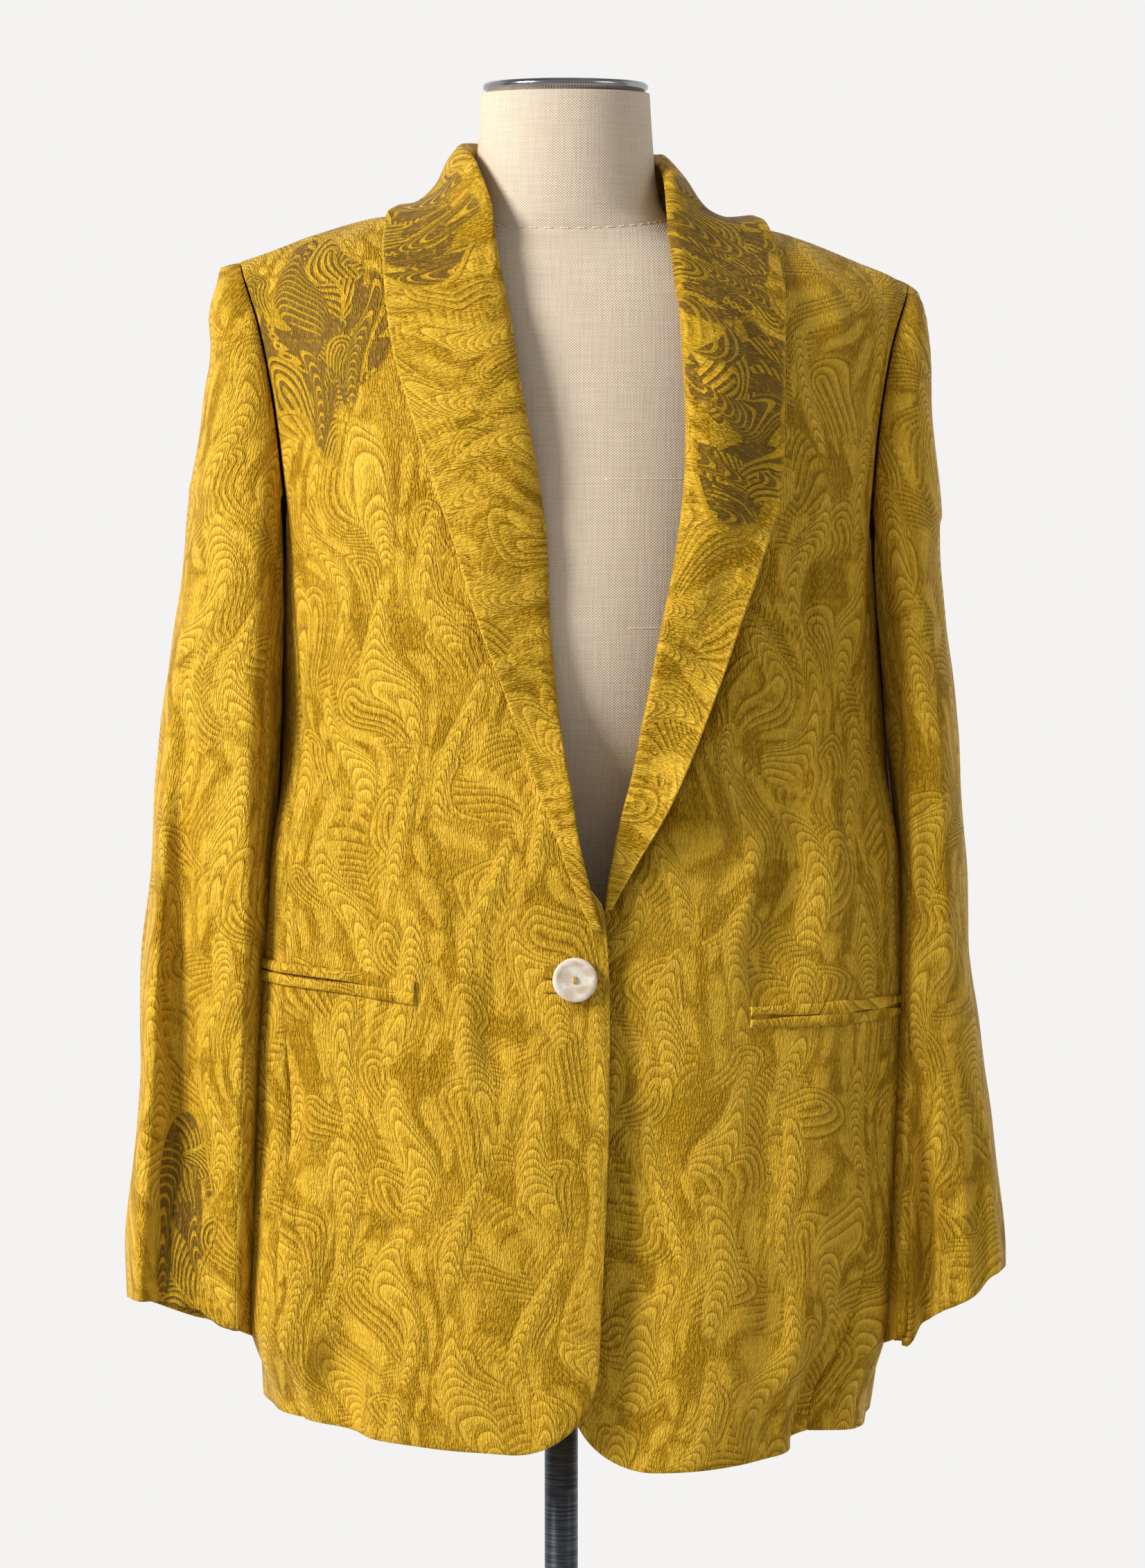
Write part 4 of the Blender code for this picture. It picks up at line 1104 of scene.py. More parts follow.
class Nodes:
    """A node material, with short calls that add linked nodes."""

    def __init__(self, name):
        self.material = bpy.data.materials.new(name)
        self.material.use_nodes = True
        self.tree = self.material.node_tree
        self.shader = self.tree.nodes["Principled BSDF"]

    def feed(self, socket, value):
        if isinstance(value, bpy.types.NodeSocket):
            self.tree.links.new(value, socket)
        else:
            socket.default_value = value

    def feed_all(self, made, values):
        for socket, value in zip(made.inputs, values):
            self.feed(socket, value)
        return made

    def node(self, kind, **inputs):
        made = self.tree.nodes.new("ShaderNode" + kind)
        for key, value in inputs.items():
            self.feed(made.inputs[key], value)
        return made

    def attribute(self, name):
        made = self.node("Attribute")
        made.attribute_name = name
        return made.outputs

    def object_place(self):
        return self.node("TexCoord").outputs["Object"]

    def math(self, operation, *values):
        made = self.node("Math")
        made.operation = operation
        return self.feed_all(made, values).outputs[0]

    def times(self, first, second):
        return self.math("MULTIPLY", first, second)

    def fit(self, value, scale, more):
        """The value times a scale, and more added."""
        return self.math("MULTIPLY_ADD", value, scale, more)

    def vector(self, operation, *values):
        made = self.node("VectorMath")
        made.operation = operation
        self.feed_all(made, values)
        return made.outputs["Value" if operation in ("DOT_PRODUCT", "LENGTH") else "Vector"]

    def step(self, value, low, high):
        """0 at low, 1 at high, eased between."""
        made = self.node("MapRange")
        made.interpolation_type = "SMOOTHSTEP"
        return self.feed_all(made, (value, low, high, 0.0, 1.0)).outputs[0]

    def mix(self, kind, places, output, values):
        """A mix node, whose sockets for each kind of value have places of their own."""
        made = self.node("Mix")
        made.data_type = kind
        for place, value in zip(places, values):
            self.feed(made.inputs[place], value)
        return made.outputs[output]

    def colour(self, share, first, second):
        return self.mix("RGBA", (0, 6, 7), 2, (share, first, second))

    def blend(self, share, first, second):
        return self.mix("FLOAT", (0, 2, 3), 0, (share, first, second))

    def noise(self, place, scale, detail, dimensions="2D"):
        made = self.node("TexNoise", Vector=place, Scale=scale, Detail=detail)
        made.noise_dimensions = dimensions
        return made.outputs

    def combine(self, x, y):
        return self.node("CombineXYZ", X=x, Y=y).outputs[0]

    def split(self, vector):
        return self.node("SeparateXYZ", Vector=vector).outputs

    def bump(self, height, strength, distance):
        made = self.node("Bump", Height=height, Strength=strength, Distance=distance)
        self.surface(Normal=made.outputs[0])

    def surface(self, **values):
        """Values or links for the shader's own sockets."""
        for key, value in values.items():
            self.feed(self.shader.inputs[key.replace("_", " ")], value)


# Jacquard: plumes, curls, feathers, petals and ring chains over an upright crinkled crepe, in metres.
# Pairs named edge are where a soft edge starts and where it is whole, other pairs a scale and an addend.

CREPE = (0.49, 0.264, 0.008, 1)
SATIN = (0.83, 0.520, 0.052, 1)
LINE = (0.30, 0.148, 0.004, 1)
OPEN = (0.17, 0.088, 0.014, 1)
BAND = (0.58, 0.335, 0.018, 1)
GOLD_TINT = (1.0, 0.78, 0.30, 1)
PLAIN = 0.02
MOTIF_SCALE = 1.35

# Cells of the half-drop repeats, how each repeat is shifted and how far its motifs turn
PLUME_CELL = (0.054, 0.128, 0.0, 0.25)
CURL_CELL = (0.071, 0.096, 3.3, 0.7)
FEATHER_CELL = (0.108, 0.124, 1.7, 1.1)
PETAL_CELL = (0.019, 0.037, 0.6, 0.35)
RING_CELL = (0.047, 0.0096, 0.9)

PLUME_HALF = 0.0120
PLUME_TALL = 0.060
PLUME_EDGE = (1.10, 0.80)
PLUME_GLOSS = (0.75, 0.2)
ARCH_ROUND = 2.4
ARCH_DROP = 0.030
ARCH_GAP = 0.0096
HALO_GAP = 0.0036
HALO_EDGE = (0.47, 0.53)
CURL_SWEEP = 12.0
CURL_GAP = 0.0058
CURL_EDGE = (0.0206, 0.0190)
CURL_FOOT_EDGE = (-0.040, -0.028)
CURL_GLOSS = (0.8, 0.0)
FEATHER_HALF = 0.034
FEATHER_TALL = 0.054
FEATHER_EDGE = (1.04, 0.90)
FEATHER_GLOSS = (0.7, -0.05)
BARB_BOW = 19.0
BARB_GAP = 0.0060
PETAL_HALF = 0.0056
PETAL_TALL = 0.0180
PETAL_TAPER = -30.0
PETAL_EDGE = (1.4, 0.3)
PETAL_TURN = 0.25
PETAL_LEAST = 0.08
PETAL_SHARE = 0.8
PETAL_GLOSS = 0.7
RING_RADIUS = 0.0033

GROUND_EDGE = (0.50, 0.62)
GROUND_GLOSS = (0.22, 0.08)
LINE_EDGE = (0.0010, 0.0003)
LINE_DARK = 0.55
STROKE_EDGE = (0.0022, 0.0015)
CRINKLE_STRETCH = (5.5, 1.0, 0.0)
CRINKLE_SCALE = 120.0
CRINKLE_DETAIL = 0.5
RIDGE_EDGE = (0.15, 0.0)
CREPE_STRETCH = (1.8, 1.0, 0.0)
CREPE_SCALE = 560.0
SPECK_EDGE = (0.58, 0.30)
SPECK_DARK = 0.5
ROUGH = (-0.85, 1.0)
BARE_FIELD = 0.9
BARE_EDGE = (0.80, 0.84)
BARE_RIM_EDGE = (0.93, 0.88)
BARE_PATCH_EDGE = (0.66, 0.70)
BARE_THREADS = 0.35
# Share of the satin colour painted onto the free edges: a painted highlight where the rims catch the light
PAINTED_RIM_HIGHLIGHT = 0.7
LINE_RELIEF = (-0.6, 0.3)
RIDGE_RELIEF = 0.8
CREPE_RELIEF = (0.5, 0.1)
STROKE_RELIEF = 0.8
RELIEF = 0.0012
JACQUARD_ROUGHNESS = (0.28, 0.36)


def lattice(n, spot, wide, tall, start, tilt=0.0):
    """The place in its cell of a half-drop repeat, turned by a random angle, and a random share."""
    spot = n.vector("MULTIPLY_ADD", spot, (1 / wide, 1 / tall, 0.0), (start, start, 0.0))
    odd = n.math("PINGPONG", n.math("ROUND", n.split(spot)[0]), 1.0)
    spot = n.vector("MULTIPLY_ADD", n.combine(0.0, odd), (0.0, 0.5, 0.0), spot)
    cell = n.vector("FLOOR", n.vector("ADD", spot, (0.5, 0.5, 0.0)))
    off = n.vector("MULTIPLY", n.vector("SUBTRACT", spot, cell), (wide, tall, 0.0))
    if not tilt:
        return off, 0.0
    chance = n.node("TexWhiteNoise", Vector=cell)
    chance.noise_dimensions = "2D"
    random = chance.outputs["Value"]
    turn = n.node("VectorRotate", Vector=off, Angle=n.fit(random, 2 * tilt, -tilt))
    turn.rotation_type = "Z_AXIS"
    return turn.outputs[0], random


def oval(n, spot, wide, tall):
    """1 on an ellipse round the middle, less inside it."""
    share = n.vector("DIVIDE", spot, (wide, tall, 1.0))
    return n.vector("DOT_PRODUCT", share, share)


def ripple(n, along, gap):
    """How far it is to the nearest of the lines a gap apart, and the share of the way between two."""
    share = n.math("FRACT", n.math("DIVIDE", along, gap))
    return n.times(n.math("PINGPONG", share, 0.5), gap), share


def plumes(n, spot):
    """Tall plumes of stacked arches: where they are, how far from a line, their gloss, and lines around."""
    spot, _ = lattice(n, spot, *PLUME_CELL)
    x, y, _ = n.split(spot)
    reach = oval(n, spot, PLUME_HALF, PLUME_TALL)
    flank = n.math("ABSOLUTE", n.math("DIVIDE", x, PLUME_HALF))
    off, share = ripple(n, n.fit(n.math("POWER", flank, ARCH_ROUND), ARCH_DROP, y), ARCH_GAP)
    around, _ = ripple(n, n.times(n.math("SQRT", reach), PLUME_HALF), HALO_GAP)
    return n.step(reach, *PLUME_EDGE), off, n.fit(share, *PLUME_GLOSS), around


def curls(n, spot):
    """Nested hoops whose legs sweep to one side."""
    spot, _ = lattice(n, spot, *CURL_CELL)
    x, y, _ = n.split(spot)
    below = n.math("MINIMUM", y, 0.0)
    x = n.fit(n.times(below, below), CURL_SWEEP, x)
    reach = n.vector("LENGTH", n.combine(x, n.math("MAXIMUM", y, 0.0)))
    off, share = ripple(n, reach, CURL_GAP)
    inside = n.times(n.step(reach, *CURL_EDGE), n.step(y, *CURL_FOOT_EDGE))
    return inside, off, n.fit(share, *CURL_GLOSS)


def feathers(n, spot):
    """Broad feathers with barbs that rise from the stem and bow over."""
    spot, _ = lattice(n, spot, *FEATHER_CELL)
    x, y, _ = n.split(spot)
    flank = n.math("ABSOLUTE", x)
    off, share = ripple(n, n.fit(flank, n.fit(flank, BARB_BOW, -1.0), y), BARB_GAP)
    inside = n.step(oval(n, spot, FEATHER_HALF, FEATHER_TALL), *FEATHER_EDGE)
    return inside, n.math("MINIMUM", off, flank), n.fit(share, *FEATHER_GLOSS)


def petals(n, spot):
    """Soft drop-shaped petals, some of them left out."""
    spot, random = lattice(n, spot, *PETAL_CELL)
    x, y, _ = n.split(spot)
    drop = n.combine(n.times(x, n.fit(y, PETAL_TAPER, 1.0)), y)
    kept = n.math("GREATER_THAN", n.math("PINGPONG", random, PETAL_TURN), PETAL_LEAST)
    inside = n.times(n.step(oval(n, drop, PETAL_HALF, PETAL_TALL), *PETAL_EDGE), kept)
    return n.times(inside, PETAL_SHARE), PLAIN, PETAL_GLOSS


def rings(n, spot):
    """How far it is to the nearest ring of the chains."""
    spot, _ = lattice(n, spot, *RING_CELL)
    return n.math("ABSOLUTE", n.math("SUBTRACT", n.vector("LENGTH", spot), RING_RADIUS))


def figures(n, motif, field):
    """How far it is to a motif's line, the satin's share, and where the lined motifs are."""
    spot = n.vector("MULTIPLY", motif, (MOTIF_SCALE, MOTIF_SCALE, 0.0))
    *plume, around = plumes(n, spot)
    off = n.math("MINIMUM", n.blend(n.step(field, *HALO_EDGE), around, PLAIN), rings(n, spot))
    satin = n.fit(n.step(field, *GROUND_EDGE), *GROUND_GLOSS)
    figure = 0.0
    for inside, line_off, gloss in (feathers(n, spot), petals(n, spot), curls(n, spot), plume):
        off = n.blend(inside, off, line_off)
        satin = n.blend(inside, satin, gloss)
        if line_off != PLAIN:
            figure = n.math("MAXIMUM", figure, inside)
    return off, satin, figure


def jacquard():
    n = Nodes("mustard_jacquard")
    grain = n.attribute("grain")["Vector"]
    opened = n.attribute("open")["Fac"]
    motif = n.attribute("motif")["Vector"]
    field = n.split(motif)[2]
    off, satin, figure = figures(n, motif, field)
    line = n.step(off, *LINE_EDGE)
    crinkle = n.noise(n.vector("MULTIPLY", grain, CRINKLE_STRETCH), CRINKLE_SCALE, CRINKLE_DETAIL)["Fac"]
    ridge = n.step(n.math("ABSOLUTE", n.math("SUBTRACT", crinkle, 0.5)), *RIDGE_EDGE)
    crepe = n.noise(n.vector("MULTIPLY", grain, CREPE_STRETCH), CREPE_SCALE, 0.0)["Fac"]
    rough = n.fit(satin, *ROUGH)

    speck = n.times(n.step(crepe, *SPECK_EDGE), n.times(rough, SPECK_DARK))
    dark = n.math("MAXIMUM", n.times(line, LINE_DARK), speck)
    colour = n.colour(dark, n.colour(satin, CREPE, SATIN), LINE)
    bareness = n.fit(field, BARE_FIELD, opened)
    bare = n.times(n.step(bareness, *BARE_EDGE), n.math("MAXIMUM", figure, n.step(opened, *BARE_PATCH_EDGE)))
    stroke = n.math("MAXIMUM", n.step(off, *STROKE_EDGE), n.step(bareness, *BARE_RIM_EDGE))
    banded = n.colour(n.math("MAXIMUM", stroke, n.times(ridge, BARE_THREADS)), OPEN, BAND)
    colour = n.colour(bare, colour, banded)
    # Painted highlight: beside the free edges the colour turns towards the bright satin, as if the rim caught
    # the light
    colour = n.colour(n.times(n.attribute("edge")["Fac"], PAINTED_RIM_HIGHLIGHT), colour, SATIN)

    relief = n.times(line, n.fit(satin, *LINE_RELIEF))
    relief = n.fit(ridge, n.times(rough, RIDGE_RELIEF), relief)
    relief = n.fit(crepe, n.fit(rough, *CREPE_RELIEF), relief)
    relief = n.fit(n.times(bare, stroke), STROKE_RELIEF, relief)
    n.bump(relief, 1.0, RELIEF)
    n.surface(Base_Color=colour, Roughness=n.fit(rough, *JACQUARD_ROUGHNESS), Specular_IOR_Level=0.22,
              Specular_Tint=GOLD_TINT, Sheen_Weight=0.05, Sheen_Roughness=0.4, Sheen_Tint=GOLD_TINT)
    return n.material


# Linen, metal, shell, thread: colours, and the size of the weave in metres

LINEN_DARK = (0.42, 0.335, 0.25, 1)
LINEN_LIGHT = (0.90, 0.765, 0.60, 1)
LINEN_WARP = 0.00095
LINEN_WEFT = 0.00080
SLUB_SCALE = 800.0
SLUB_LONG = 0.05
SLUB_TONE = (0.12, 0.03)
BEAD_TONE = 0.7
SLUB_RELIEF = 0.4
# Chrome tones darker than bare chrome, standing in for the dark surroundings the cap reflects: a painted dark
# reflection
DARKENED_CHROME_TONES = ((0.20, 0.20, 0.215, 1), (0.42, 0.42, 0.44, 1))
STEEL_TONES = ((0.035, 0.042, 0.055, 1), (0.11, 0.12, 0.14, 1))
STREAK_STRETCH = (2.0, 60.0)
STREAK_SCALE = 12.0
SMUDGE_SCALE = 35.0
SMUDGE_ROUGH = 0.18
SHELL_DARK = (0.60, 0.47, 0.35, 1)
SHELL_LIGHT = (0.80, 0.72, 0.61, 1)
SHELL_GREEN = (0.66, 0.74, 0.68, 1)
SHELL_STRETCH = (1.0, 1.0, 1.6)
SHELL_SCALE = 110.0
SHELL_PLAY = 0.25
THREAD_DARK = (0.42, 0.25, 0.03, 1)
THREAD_LIGHT = (0.72, 0.48, 0.08, 1)
THREAD_TWIST = 9000.0


def linen():
    n = Nodes("linen")
    x, y, _ = n.split(n.attribute("grain")["Vector"])
    weft = n.noise(n.combine(n.times(x, SLUB_LONG), y), SLUB_SCALE, 0.0)["Fac"]
    warp = n.noise(n.combine(x, n.times(y, SLUB_LONG)), SLUB_SCALE, 0.0)["Fac"]
    slub = n.math("ADD", weft, warp)
    over = n.math("SINE", n.times(x, math.pi / LINEN_WARP))
    under = n.math("SINE", n.times(y, math.pi / LINEN_WEFT))
    bead = n.fit(n.times(over, under), 0.5, 0.5)
    tone = n.fit(bead, BEAD_TONE, n.fit(slub, *SLUB_TONE))
    n.bump(n.fit(slub, SLUB_RELIEF, bead), 0.7, 0.0003)
    n.surface(Base_Color=n.colour(n.step(tone, 0.0, 1.0), LINEN_DARK, LINEN_LIGHT), Roughness=0.9,
              Specular_IOR_Level=0.2, Sheen_Weight=0.1)
    return n.material


def brushed(name, tones, roughness, bright):
    """Metal with fine streaks round its turned surface."""
    n = Nodes(name)
    x, _, z = n.split(n.object_place())
    across, upright = STREAK_STRETCH
    streak = n.noise(n.combine(n.times(x, across), n.times(z, upright)), STREAK_SCALE, 3.0)["Fac"]
    smudge = n.noise(n.object_place(), SMUDGE_SCALE, 2.0, "3D")["Fac"]
    n.bump(streak, 0.15, 0.0003)
    n.surface(Base_Color=n.colour(n.step(streak, 0.3, 0.7), *tones),
              Roughness=n.fit(smudge, SMUDGE_ROUGH, roughness), Metallic=bright)
    return n.material


def mother_of_pearl():
    n = Nodes("mother_of_pearl")
    swirl = n.noise(n.vector("MULTIPLY", n.object_place(), SHELL_STRETCH), SHELL_SCALE, 2.0, "3D")
    tint = n.colour(n.step(swirl["Fac"], 0.36, 0.62), SHELL_DARK, SHELL_LIGHT)
    play = n.times(n.step(swirl["Color"], 0.45, 0.7), SHELL_PLAY)
    n.bump(swirl["Fac"], 0.05, 0.0004)
    n.surface(Base_Color=n.colour(play, tint, SHELL_GREEN), Roughness=0.25, Coat_Weight=0.4,
              Coat_Roughness=0.12)
    return n.material


def sewing_thread():
    n = Nodes("sewing_thread")
    x, y, z = n.split(n.object_place())
    twist = n.math("SINE", n.times(n.math("ADD", n.math("ADD", x, y), z), THREAD_TWIST))
    n.bump(twist, 0.5, 0.0002)
    n.surface(Base_Color=n.colour(n.step(twist, -0.8, 0.8), THREAD_DARK, THREAD_LIGHT), Roughness=0.7,
              Sheen_Weight=0.2)
    return n.material


JACQUARD = jacquard()
LINEN = linen()
# The neck cap's chrome takes the darkened tones, a painted dark reflection
CHROME = brushed("chrome", DARKENED_CHROME_TONES, 0.10, 1.0)
STEEL = brushed("dark_steel", STEEL_TONES, 0.28, 0.85)
PEARL = mother_of_pearl()
THREAD = sewing_thread()


# Cloth pieces

def turned_in(side, points, normal, grain):
    """The grid with its seam allowance, which turns in along the seam."""
    axis = 0 if side in ("low", "high") else 1
    end, beside = (0, 1) if side in ("low", "first") else (-1, -2)
    edge = np.take(points, end, axis=axis)
    outward = np.take(normal, end, axis=axis)
    out = edge - np.take(points, beside, axis=axis)
    out -= outward * np.sum(out * outward, axis=1, keepdims=True)
    out /= np.maximum(np.linalg.norm(out, axis=1, keepdims=True), TINY)
    added = [edge + out * beyond - outward * depth for beyond, depth in ALLOWANCE]
    turned = [out * math.sqrt(0.5) + outward * math.sqrt(0.5), out, out]

    def grown(values, extra):
        extra = np.stack(extra, axis=axis)
        return np.concatenate([np.flip(extra, axis), values] if end == 0 else [values, extra], axis=axis)

    same = len(added) * [np.take(grain, end, axis=axis)]
    return grown(points, added), grown(normal, turned), grown(grain, same)


def shaped(name, points):
    """The points of a piece with its folds, its fullness and the stand of its lapel."""
    points = folded(name, points)
    if name.startswith(("front", "side", "back", "pocket")):
        points = broadened(points)
    if name in ("front_right", "shawl_collar_right"):
        points = points + lapel_sink(points)[..., None] * BACKWARD
    if name == "shawl_collar_left":
        points = points - lapel_lift(points)[..., None] * BACKWARD
    return points


def puckers(points, to_side):
    """Small waves in the cloth beside the armhole seam."""
    _, y, z = np.moveaxis(points, -1, 0)
    beside = np.minimum(to_side["first"], to_side["last"])
    beside = np.where(z > NOTCH - UNDERARM_DIP, beside, FAR)
    beside = np.minimum(beside, to_side["high"])
    wander = PUCKER_WANDER * np.sin(z / PUCKER_WANDER_LENGTH)
    wave = np.sin(2 * math.pi * (z + PUCKER_SLANT * y) / PUCKER_LENGTH + wander)
    return PUCKER * wave * np.exp(-beside / PUCKER_REACH) * smooth_step(beside, 0, PUCKER_CALM)


def cuff_dropped(points, along):
    """The points of a sleeve with the uneven edge of its cuff."""
    x = points[..., 0]
    for row in CUFF_DROPS:
        drop = row["drop"] * np.exp(-((x - row["x"]) / row["half_width"]) ** 4)
        points = points - np.stack([0 * x, 0 * x, drop * near(along, CUFF_REACH)], axis=2)
    return points


def hem_flutter(points, along):
    x, y, _ = np.moveaxis(points, -1, 0)
    total = np.zeros_like(x)
    for row in HEM_WAVES:
        total += row["size"] * np.sin(2 * math.pi * (x + row["deep"] * y) / row["length"] + row["start"])
    return HEM_FLUTTER * total * near(along, HEM_REACH)


def side_distances(points):
    """How far each point lies from the four sides of its grid."""
    along = lengths(points, 0)
    around = lengths(points, 1)
    return {"low": along, "high": along[-1:] - along, "first": around, "last": around[:, -1:] - around}


def woven(to_side, start, shift, across):
    """The place of each point in the weave, from the row and column where the weave starts."""
    row, column = start
    u = to_side["first"] - to_side["first"][:, [column]] + shift[0]
    v = to_side["low"] - to_side["low"][[row]] + shift[1]
    return (v, u) if across else (u, v)


def swells(points, calm):
    """Unevenness, which the button holds flat, and the creases of the front and the back."""
    x, y, z = np.moveaxis(points, -1, 0)
    facing = smooth_step(-y, -CREASE_FRONT, CREASE_FRONT)
    button = np.hypot(x - BUTTON_X, z - BUTTON_Z)
    move = unevenness(points) * calm * (1 - facing * near(button, BUTTON_CALM))
    return move + (creases(points, CREASES, facing) + creases(points, BACK_CREASES, 1 - facing))


def cloth(name, points, seams, thickness=CLOTH, axis=BODY_AXIS, stand=0, start=(0, 0), across=False,
          shift=(0, 0), calm=1.0, puckered=False, hem=False, nodes=()):
    """A piece through a fine grid. Seams name the sides of the grid that are sewn."""
    points = shaped(name, points)
    normal = normals_of(points)
    away = points[:, stand:, :2] - np.array(axis)
    normal *= math.copysign(1, np.sum(normal[:, stand:, :2] * away))
    to_side = side_distances(points)
    move = swells(points, calm)
    if puckered:
        move += puckers(points, to_side)
        points = cuff_dropped(points, to_side["low"])
    if hem:
        move += hem_flutter(points, to_side["low"])
    for side in seams:
        move *= smooth_step(to_side[side], 0, SEAM_CALM)
    for side in seams:
        move -= SEAM_DIP * near(to_side[side], SEAM_REACH)
    points = points + normal * move[..., None]
    free = [to_side[side] for side in ("first", "last", "high") if side not in seams]
    # Nearness to the free edges, which the jacquard paints as a bright rim: a painted highlight
    lit_rim = near(np.min(free, axis=0), LIT_RIM_REACH) if free else np.zeros(points.shape[:2])
    grain = np.stack([*woven(to_side, start, shift, across), open_share(name, points), lit_rim], axis=2)
    for side in seams:
        points, normal, grain = turned_in(side, points, normal, grain)
    mesh = wall(name, points, normal, grain, thickness)
    place(name + "_cloth", mesh, JACQUARD, "jacquard", *(nodes or [name]))


def fine(grid):
    """A grid of points as an array, with twice the rows and columns."""
    return doubled(doubled(as_array(grid), 0), 1)


def collar_points(side):
    rows = as_array(collar_grid(side))
    return np.array([respaced(row, COLLAR_COLUMNS) for row in doubled(rows, 0)])


# Where each piece lies in the weave, in millimetres: a place, and a step to each side
NOTCH_ROW = 2 * LOWER_ROWS
FRONT_WEAVE = (90, 410)
FRONT_RISE = (30, -60)
SIDE_WEAVE = (1200, 300)
TOP_SLEEVE_WEAVE = (2300, 350)
UNDER_SLEEVE_WEAVE = (3300, 350)
COLLAR_WEAVE = (150, 80)
COLLAR_RISE = (4300, 350)
BACK_WEAVE = 5600
POCKET_WEAVE = (6400, 200)
HOLE_WEAVE = 6900
WELT_RISE = 60
SIDE_CALM = 0.4
UNDER_SLEEVE_CALM = 0.3
COLLAR_CALM = 0.8
ALL_SEAMS = ("high", "first", "last")


def sided(weave, sign):
    return weave[0] + weave[1] * sign


for SIDE, SIGNED in SIGN.items():
    OUT = (SIGNED * SLEEVE_AXIS, 0)
    cloth("front_" + SIDE, fine(front_grid(SIDE)), ("high", "last"), start=(NOTCH_ROW, -1),
          shift=(sided(FRONT_WEAVE, SIGNED), sided(FRONT_RISE, SIGNED)), hem=True)
    cloth("side_panel_" + SIDE, fine(side_grid(SIDE)), ALL_SEAMS, shift=(sided(SIDE_WEAVE, SIGNED), 0),
          calm=SIDE_CALM, hem=True)
    cloth("top_sleeve_" + SIDE, fine(top_sleeve_grid(SIDE)), ALL_SEAMS, axis=OUT,
          nodes=("top_sleeve_lower_" + SIDE, "top_sleeve_upper_" + SIDE),
          start=(NOTCH_ROW, TOP_SLEEVE_COLUMNS), shift=(sided(TOP_SLEEVE_WEAVE, SIGNED), 0), puckered=True)
    cloth("under_sleeve_" + SIDE, fine(under_sleeve_grid(SIDE)), ALL_SEAMS, axis=OUT,
          nodes=("under_sleeve_lower_" + SIDE, "under_sleeve_upper_" + SIDE),
          shift=(sided(UNDER_SLEEVE_WEAVE, SIGNED), 0), calm=UNDER_SLEEVE_CALM)
    cloth("shawl_collar_" + SIDE, collar_points(SIDE), ("high",), stand=COLLAR_COLUMNS // 3, across=True,
          shift=(sided(COLLAR_WEAVE, SIGNED), sided(COLLAR_RISE, SIGNED)), calm=COLLAR_CALM)
cloth("back", fine(back_grid()), ALL_SEAMS, start=(NOTCH_ROW, BACK_COLUMNS), shift=(BACK_WEAVE, 0), hem=True)


# Pocket welts and buttonhole welts: folded strips, from the sewn edge to the fold at the slit

WELT_PROFILE = table("share lift", (0, 1.5), (0.14, 2.2), (0.45, 2.9), (0.8, 2.8), (0.95, 2.3), (1, 1.6))
HOLE_PROFILE = table("share lift", (0, 1.1), (0.2, 1.7), (0.5, 2.0), (0.85, 1.9), (1, 1.2))
WAYS = (("upper", 1), ("lower", -1))
ANGLE_STEP = 0.01


def strip(rows):
    points = as_array(rows)
    points = np.array([respaced(points[:, c], WELT_ROWS) for c in range(points.shape[1])])
    return doubled(np.moveaxis(points, 0, 1), 1)


def pocket_strip(side, outer, slit, start, stop):
    sign = SIGN[side]
    rows = []
    for spot in WELT_PROFILE:
        row = []
        for f in steps(WELT_COLUMNS):
            angle = start + (stop - start) * f
            height = outer + (slit - outer) * spot["share"]
            height += POCKET_RISE[side] * math.sin(f * math.pi / 2)
            spot_on = hang(ring_point(side, angle, height), sign)
            beside = hang(ring_point(side, angle + ANGLE_STEP, height), sign) - spot_on
            below = spot_on - hang(ring_point(side, angle, height - 1), sign)
            row.append(spot_on + beside.cross(below).normalized() * sign * spot["lift"])
        rows.append(row)
    return strip(rows)


def hole_strip(way):
    wide = HOLE_WELT_END - HOLE_WELT_START
    rows = []
    for spot in HOLE_PROFILE:
        z = BUTTON_Z + way * (WELT_SLIT / 2 + HOLE_WELT_TALL * (1 - spot["share"]))
        across = [HOLE_WELT_START + wide * f for f in steps(WELT_COLUMNS)]
        rows.append([on_front("right", x, z, spot["lift"]) for x in across])
    return strip(rows)


for SIDE, SIGNED in SIGN.items():
    SLIT = POCKET_HEIGHT[SIDE]
    START = math.asin((POCKET_INNER / read(BODY, "half_width", SLIT)) ** (1 / FRONT_POWER))
    STOP = math.radians(POCKET_OUTER_ANGLE)
    for PLACE, WAY in WAYS:
        NEAR = SLIT + WAY * WELT_SLIT / 2
        STRIP = pocket_strip(SIDE, NEAR + WAY * WELT_TALL, NEAR, START, STOP)
        cloth("pocket_welt_" + PLACE + "_" + SIDE, STRIP, (), thickness=WELT_CLOTH,
              shift=(sided(POCKET_WEAVE, SIGNED), WELT_RISE * WAY))
for PLACE, WAY in WAYS:
    cloth("buttonhole_welt_" + PLACE, hole_strip(WAY), (), thickness=HOLE_WELT_CLOTH,
          shift=(HOLE_WEAVE, WELT_RISE * WAY))


# Button and thread: profiles list radius and height from the middle outward

BUTTON_PROFILE = (
    (0.4, 2.45),
    (5.5, 2.5),
    (8.8, 2.75),
    (10.4, 3.2),
    (11.7, 3.15),
    (12.8, 2.5),
    (13.1, 1.6),
    (12.7, 0.6),
    (11.8, 0.1),
    (6, 0),
    (0.4, 0),
)
BUTTON_POINTS = 40
BUTTON_SIDES = 96
SHAFT_SIDES = 32
SHAFT_ENDS = (-3, 6)
# A strand from inside a hole to the middle of its bridge: how far it leans in, and its height
STRAND = table("lean height", (0, 0.4), (0, 1.6), (0.1, 2.5), (0.7, BUTTON_THICK + 0.1))
STRAND_TOP = BUTTON_THICK + 0.35
STRAND_OFFSETS = (-0.6, 0.0, 0.6)
STRAND_SPREAD = 0.1
STRAND_RADIUS = 0.33
STRAND_POINTS = 40
STRAND_SIDES = 10


